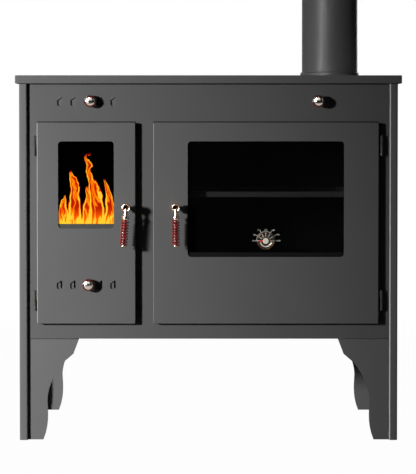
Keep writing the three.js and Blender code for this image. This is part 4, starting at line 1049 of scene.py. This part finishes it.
def dialPointer():
    # a flat blade with a blunt tip, and a round hub over it
    back = caseFront - dial["gap"]
    hub, half, tip, reach = pick(dial, "hub bladeHalf bladeTip bladeReach")
    hubProfile = [(0, back), (hub, back), (hub, back - 1.2), (hub - 0.8, back - 1.8), (2.4, back - 1.5),
                  (0, back - 1.5)]
    blade = np.array([(0, -half), (0, half), (-tip, half), (-reach, 0), (-tip, -half)]) + dialMiddle
    levels = [(0, back), (1, back), (1, back - 0.7), (0.93, back - 0.9), (0, back - 0.9)]
    grids = [layered(blade, blade.mean(0), levels), turned(softened(hubProfile, 0.3), dialAxis, "y", 64)]
    addPiece("dialPointer", grids, "pointer", "pointer", ["thermometer_pointer"], others=[(1, hubCream)])


def printedBar(first, second, level):
    # a thin bar between two edges in X and Z, stood off its level towards -Y and closed at both ends
    top = level - dial["ink"]
    rings = [(first, level), (first, top), (second, top), (second, level)]
    loops = np.stack([joined(edge[:, 0], depth, edge[:, 1]) for edge, depth in rings], axis=1)
    ends = np.repeat(loops[[0, -1]].mean(1, keepdims=True), 4, axis=1)
    return np.concatenate([ends[:1], loops, ends[1:]]) * mm


def dialScale():
    # one arc and a tick for each number, printed on the pane, with shorter ticks on the case's rim
    glass, radius = dial["glass"], dial["scaleRadius"]
    ray = circle(np.linspace(0, math.pi, 61))
    inner, outer = (dialMiddle + ray * (radius + off) for off in dial["arc"])
    bars = [printedBar(inner, outer, glass)]
    count = len(dial["numbers"])
    for index in range(count):
        out = circle(math.pi * (1 - index / (count - 1)))
        side = np.array([-out[1], out[0]]) * dial["tickHalf"]
        tickOut = radius + dial["shortTick"] if index == count // 2 else dial["tickOut"]
        onRim = (dial["tickIn"], dial["radius"] - 1.2, caseFront)
        for near, away, level in ((radius, tickOut, glass), onRim):
            run = dialMiddle + out * np.linspace(near, away, 3)[:, None]
            bars.append(printedBar(run - side, run + side, level))
    addPiece("dialScale", bars, "oven_door", "nickel", material=dialWhite)


def dialNumber(number, degrees, reach):
    # plain type, stood upright on the pane
    settings = {"body": str(number), "size": dial["numberSize"] * mm, "extrude": dial["ink"] / 2 * mm,
                "align_x": "CENTER", "align_y": "CENTER", "resolution_u": 3}
    holder = linked("number", setAll(bpy.data.curves.new("number", "FONT"), settings))
    mesh = bpy.data.meshes.new_from_object(holder.evaluated_get(bpy.context.evaluated_depsgraph_get()))
    bpy.data.objects.remove(holder)
    flat = np.zeros(len(mesh.vertices) * 3)
    mesh.vertices.foreach_get("co", flat)
    x, y, z = flat.reshape(-1, 3).T
    outX, outZ = dialMiddle + circle(math.radians(degrees)) * reach
    place = np.array([outX, dial["glass"] - dial["numberOff"], outZ]) * mm
    mesh.vertices.foreach_set("co", (joined(x, -z, y) + place).ravel())
    mesh.materials.clear()
    mesh.materials.append(dialWhite)
    attach(f"dialNumber{number}", mesh, "oven_door")


dialCase()
dialSpiral()
dialPointer()
dialScale()
for numberRow in dial["numbers"]:
    dialNumber(*numberRow)
print("thermometer made")


# Floor, light and camera, in metres and degrees

studio = {
    "ambient": 0.008, "floorShare": 0.98, "floorReach": 300.0, "nearFloor": (2.0, 3.0), "floorTone": 0.16,
    "floorMirror": 0.6, "behind": (2.6, 2.8),
    # boxes of light that polished surfaces mirror, with a white wall behind: where each starts, is
    # full, fades and ends round the stove (in radians, 0 before it and the left below nought) and in
    # z, and its strength
    "boxes": {
        "tall": ((-1.7, -1.6, -0.9, -0.8), (-0.3, -0.2, 0.6, 0.8), 1.0),
        "raised": ((-1.0, -0.9, 0.2, 0.3), (0.12, 0.2, 0.6, 0.8), 1.0),
        "flash": ((-0.75, -0.72, -0.43, -0.4), (0.04, 0.08, 0.62, 0.66), 45.0),
        "strip": ((1.1, 1.2, 1.6, 1.7), (-0.3, -0.2, 0.6, 0.8), 0.7),
    },
}
# the key lamp's place: its distance from a point, degrees to the left and degrees up
keyFrom = {"point": (0.0, -0.22, 0.5), "distance": 4.0, "side": 44.0, "up": 9.0}
side, up = math.radians(keyFrom["side"]), math.radians(keyFrom["up"])
keyWay = np.array([-math.sin(side) * math.cos(up), -math.cos(side) * math.cos(up), math.sin(up)])
lamps = {
    # from the left front; its soft cone is aimed past the stove's left side, so it fades to the right
    "keyLamp": {"power": 1990.0, "place": keyFrom["point"] + keyFrom["distance"] * keyWay,
                "aim": (-1.96, -0.22, 0.44), "cone": 78.0, "radius": 0.2},
    # low on the right and behind the front's plane: it lights the right side and nothing else
    "sideLamp": {"power": 45.0, "place": (2.6, 0.45, 0.3), "aim": (0.417, 0.02, 0.36), "cone": 34.0,
                 "radius": 0.15},
    "backLamp": {"power": 110.0, "place": (1.5, 3.6, 1.6), "aim": (0, 0, 0.5), "wide": 1.6},
    "topLamp": {"power": 24.0, "place": (0.2, 0.9, 2.8), "aim": (0, 0.2, 0.8), "wide": 1.2},
}


def seenStraight(maker):
    # 1 for what the camera sees itself or through glass, and 1 for what is mirrored
    paths = maker.node("ShaderNodeLightPath")
    return paths["Is Camera Ray"].most(paths["Is Transmission Ray"]), paths["Is Glossy Ray"]


def floorAndBackdrop():
    # a pale floor, shown white to the camera, with the stove's shadow left in it
    mesh = bpy.data.meshes.new("studioFloor")
    reach = studio["floorReach"]
    corners = [(-reach, -reach, 0), (reach, -reach, 0), (reach, reach, 0), (-reach, reach, 0)]
    mesh.from_pydata(corners, [], [(0, 1, 2, 3)])
    floor = linked("studioFloor", mesh)
    finish = Finish("studioFloor")
    x, y, _ = finish.axes()
    far = ((x * x + y * y) ** 0.5).between(*studio["nearFloor"])
    straight, mirrored = seenStraight(finish)
    share = studio["floorShare"] + (1 - studio["floorShare"]) * far
    seen = straight.most(mirrored * (1 - far) * studio["floorMirror"]) * share
    plain = finish.node("ShaderNodeBsdfDiffuse", {"Color": (studio["floorTone"],) * 3 + (1,)})["BSDF"]
    white = finish.node("ShaderNodeEmission", {"Color": (255, 255, 255), "Strength": 1.0})["Emission"]
    mixed = finish.node("ShaderNodeMixShader", {0: seen, 1: plain, 2: white})["Shader"]
    finish.node("ShaderNodeOutputMaterial", {"Surface": mixed})
    mesh.materials.append(finish.holder)


def studioWorld():
    # white where the camera looks, and for polished metal the boxes of light and a white wall behind
    world = bpy.data.worlds.new("studio")
    bpy.context.scene.world = world
    sky = Finish("", world)
    x, y, z = sky.axes()
    turn = x.turnFrom(-1 * y)
    boxLight = turn.size().between(*studio["behind"])
    for turns, heights, power in studio["boxes"].values():
        boxLight = boxLight.most(power * (turn.within(*turns) * z.within(*heights)))
    straight, mirrored = seenStraight(sky)
    strength = straight.most(mirrored * boxLight).most(studio["ambient"])
    background = sky.node("ShaderNodeBackground", {"Color": (255, 255, 255), "Strength": strength})
    sky.node("ShaderNodeOutputWorld", {"Surface": background["Background"]})


def addLamp(name, look):
    # a spot lamp where the look has a cone, and otherwise a square of light
    if "cone" in look:
        kind = "SPOT"
        cone = math.radians(look["cone"])
        settings = {"spot_size": cone, "spot_blend": 1.0, "shadow_soft_size": look["radius"]}
    else:
        kind = "AREA"
        settings = {"shape": "SQUARE", "size": look["wide"]}
    data = setAll(bpy.data.lights.new(name, kind), {"energy": look["power"], **settings})
    x, y, z = np.array(look["place"]) - np.array(look["aim"])
    angles = (math.atan2(math.hypot(x, y), z), 0, math.atan2(x, -y))
    setAll(linked(name, data), {"location": look["place"], "rotation_euler": angles})


floorAndBackdrop()
studioWorld()
for name, look in lamps.items():
    addLamp(name, look)

view = {"distance": 4.5, "frontY": -0.216, "height": 0.70, "tilt": 1.6}
lens = {"lens": 155.0, "sensor_width": 36.0, "sensor_fit": "AUTO", "shift_x": -0.001, "shift_y": -0.12,
        "clip_end": 100.0}
camera = linked("photoCamera", setAll(bpy.data.cameras.new("photoCamera"), lens))
camera.location = (0.0, view["frontY"] - view["distance"], view["height"])
camera.rotation_euler = (math.pi / 2 - math.radians(view["tilt"]), 0, 0)
bpy.context.scene.camera = camera
bpy.context.scene.view_settings.view_transform = "Standard"
print("studio made")
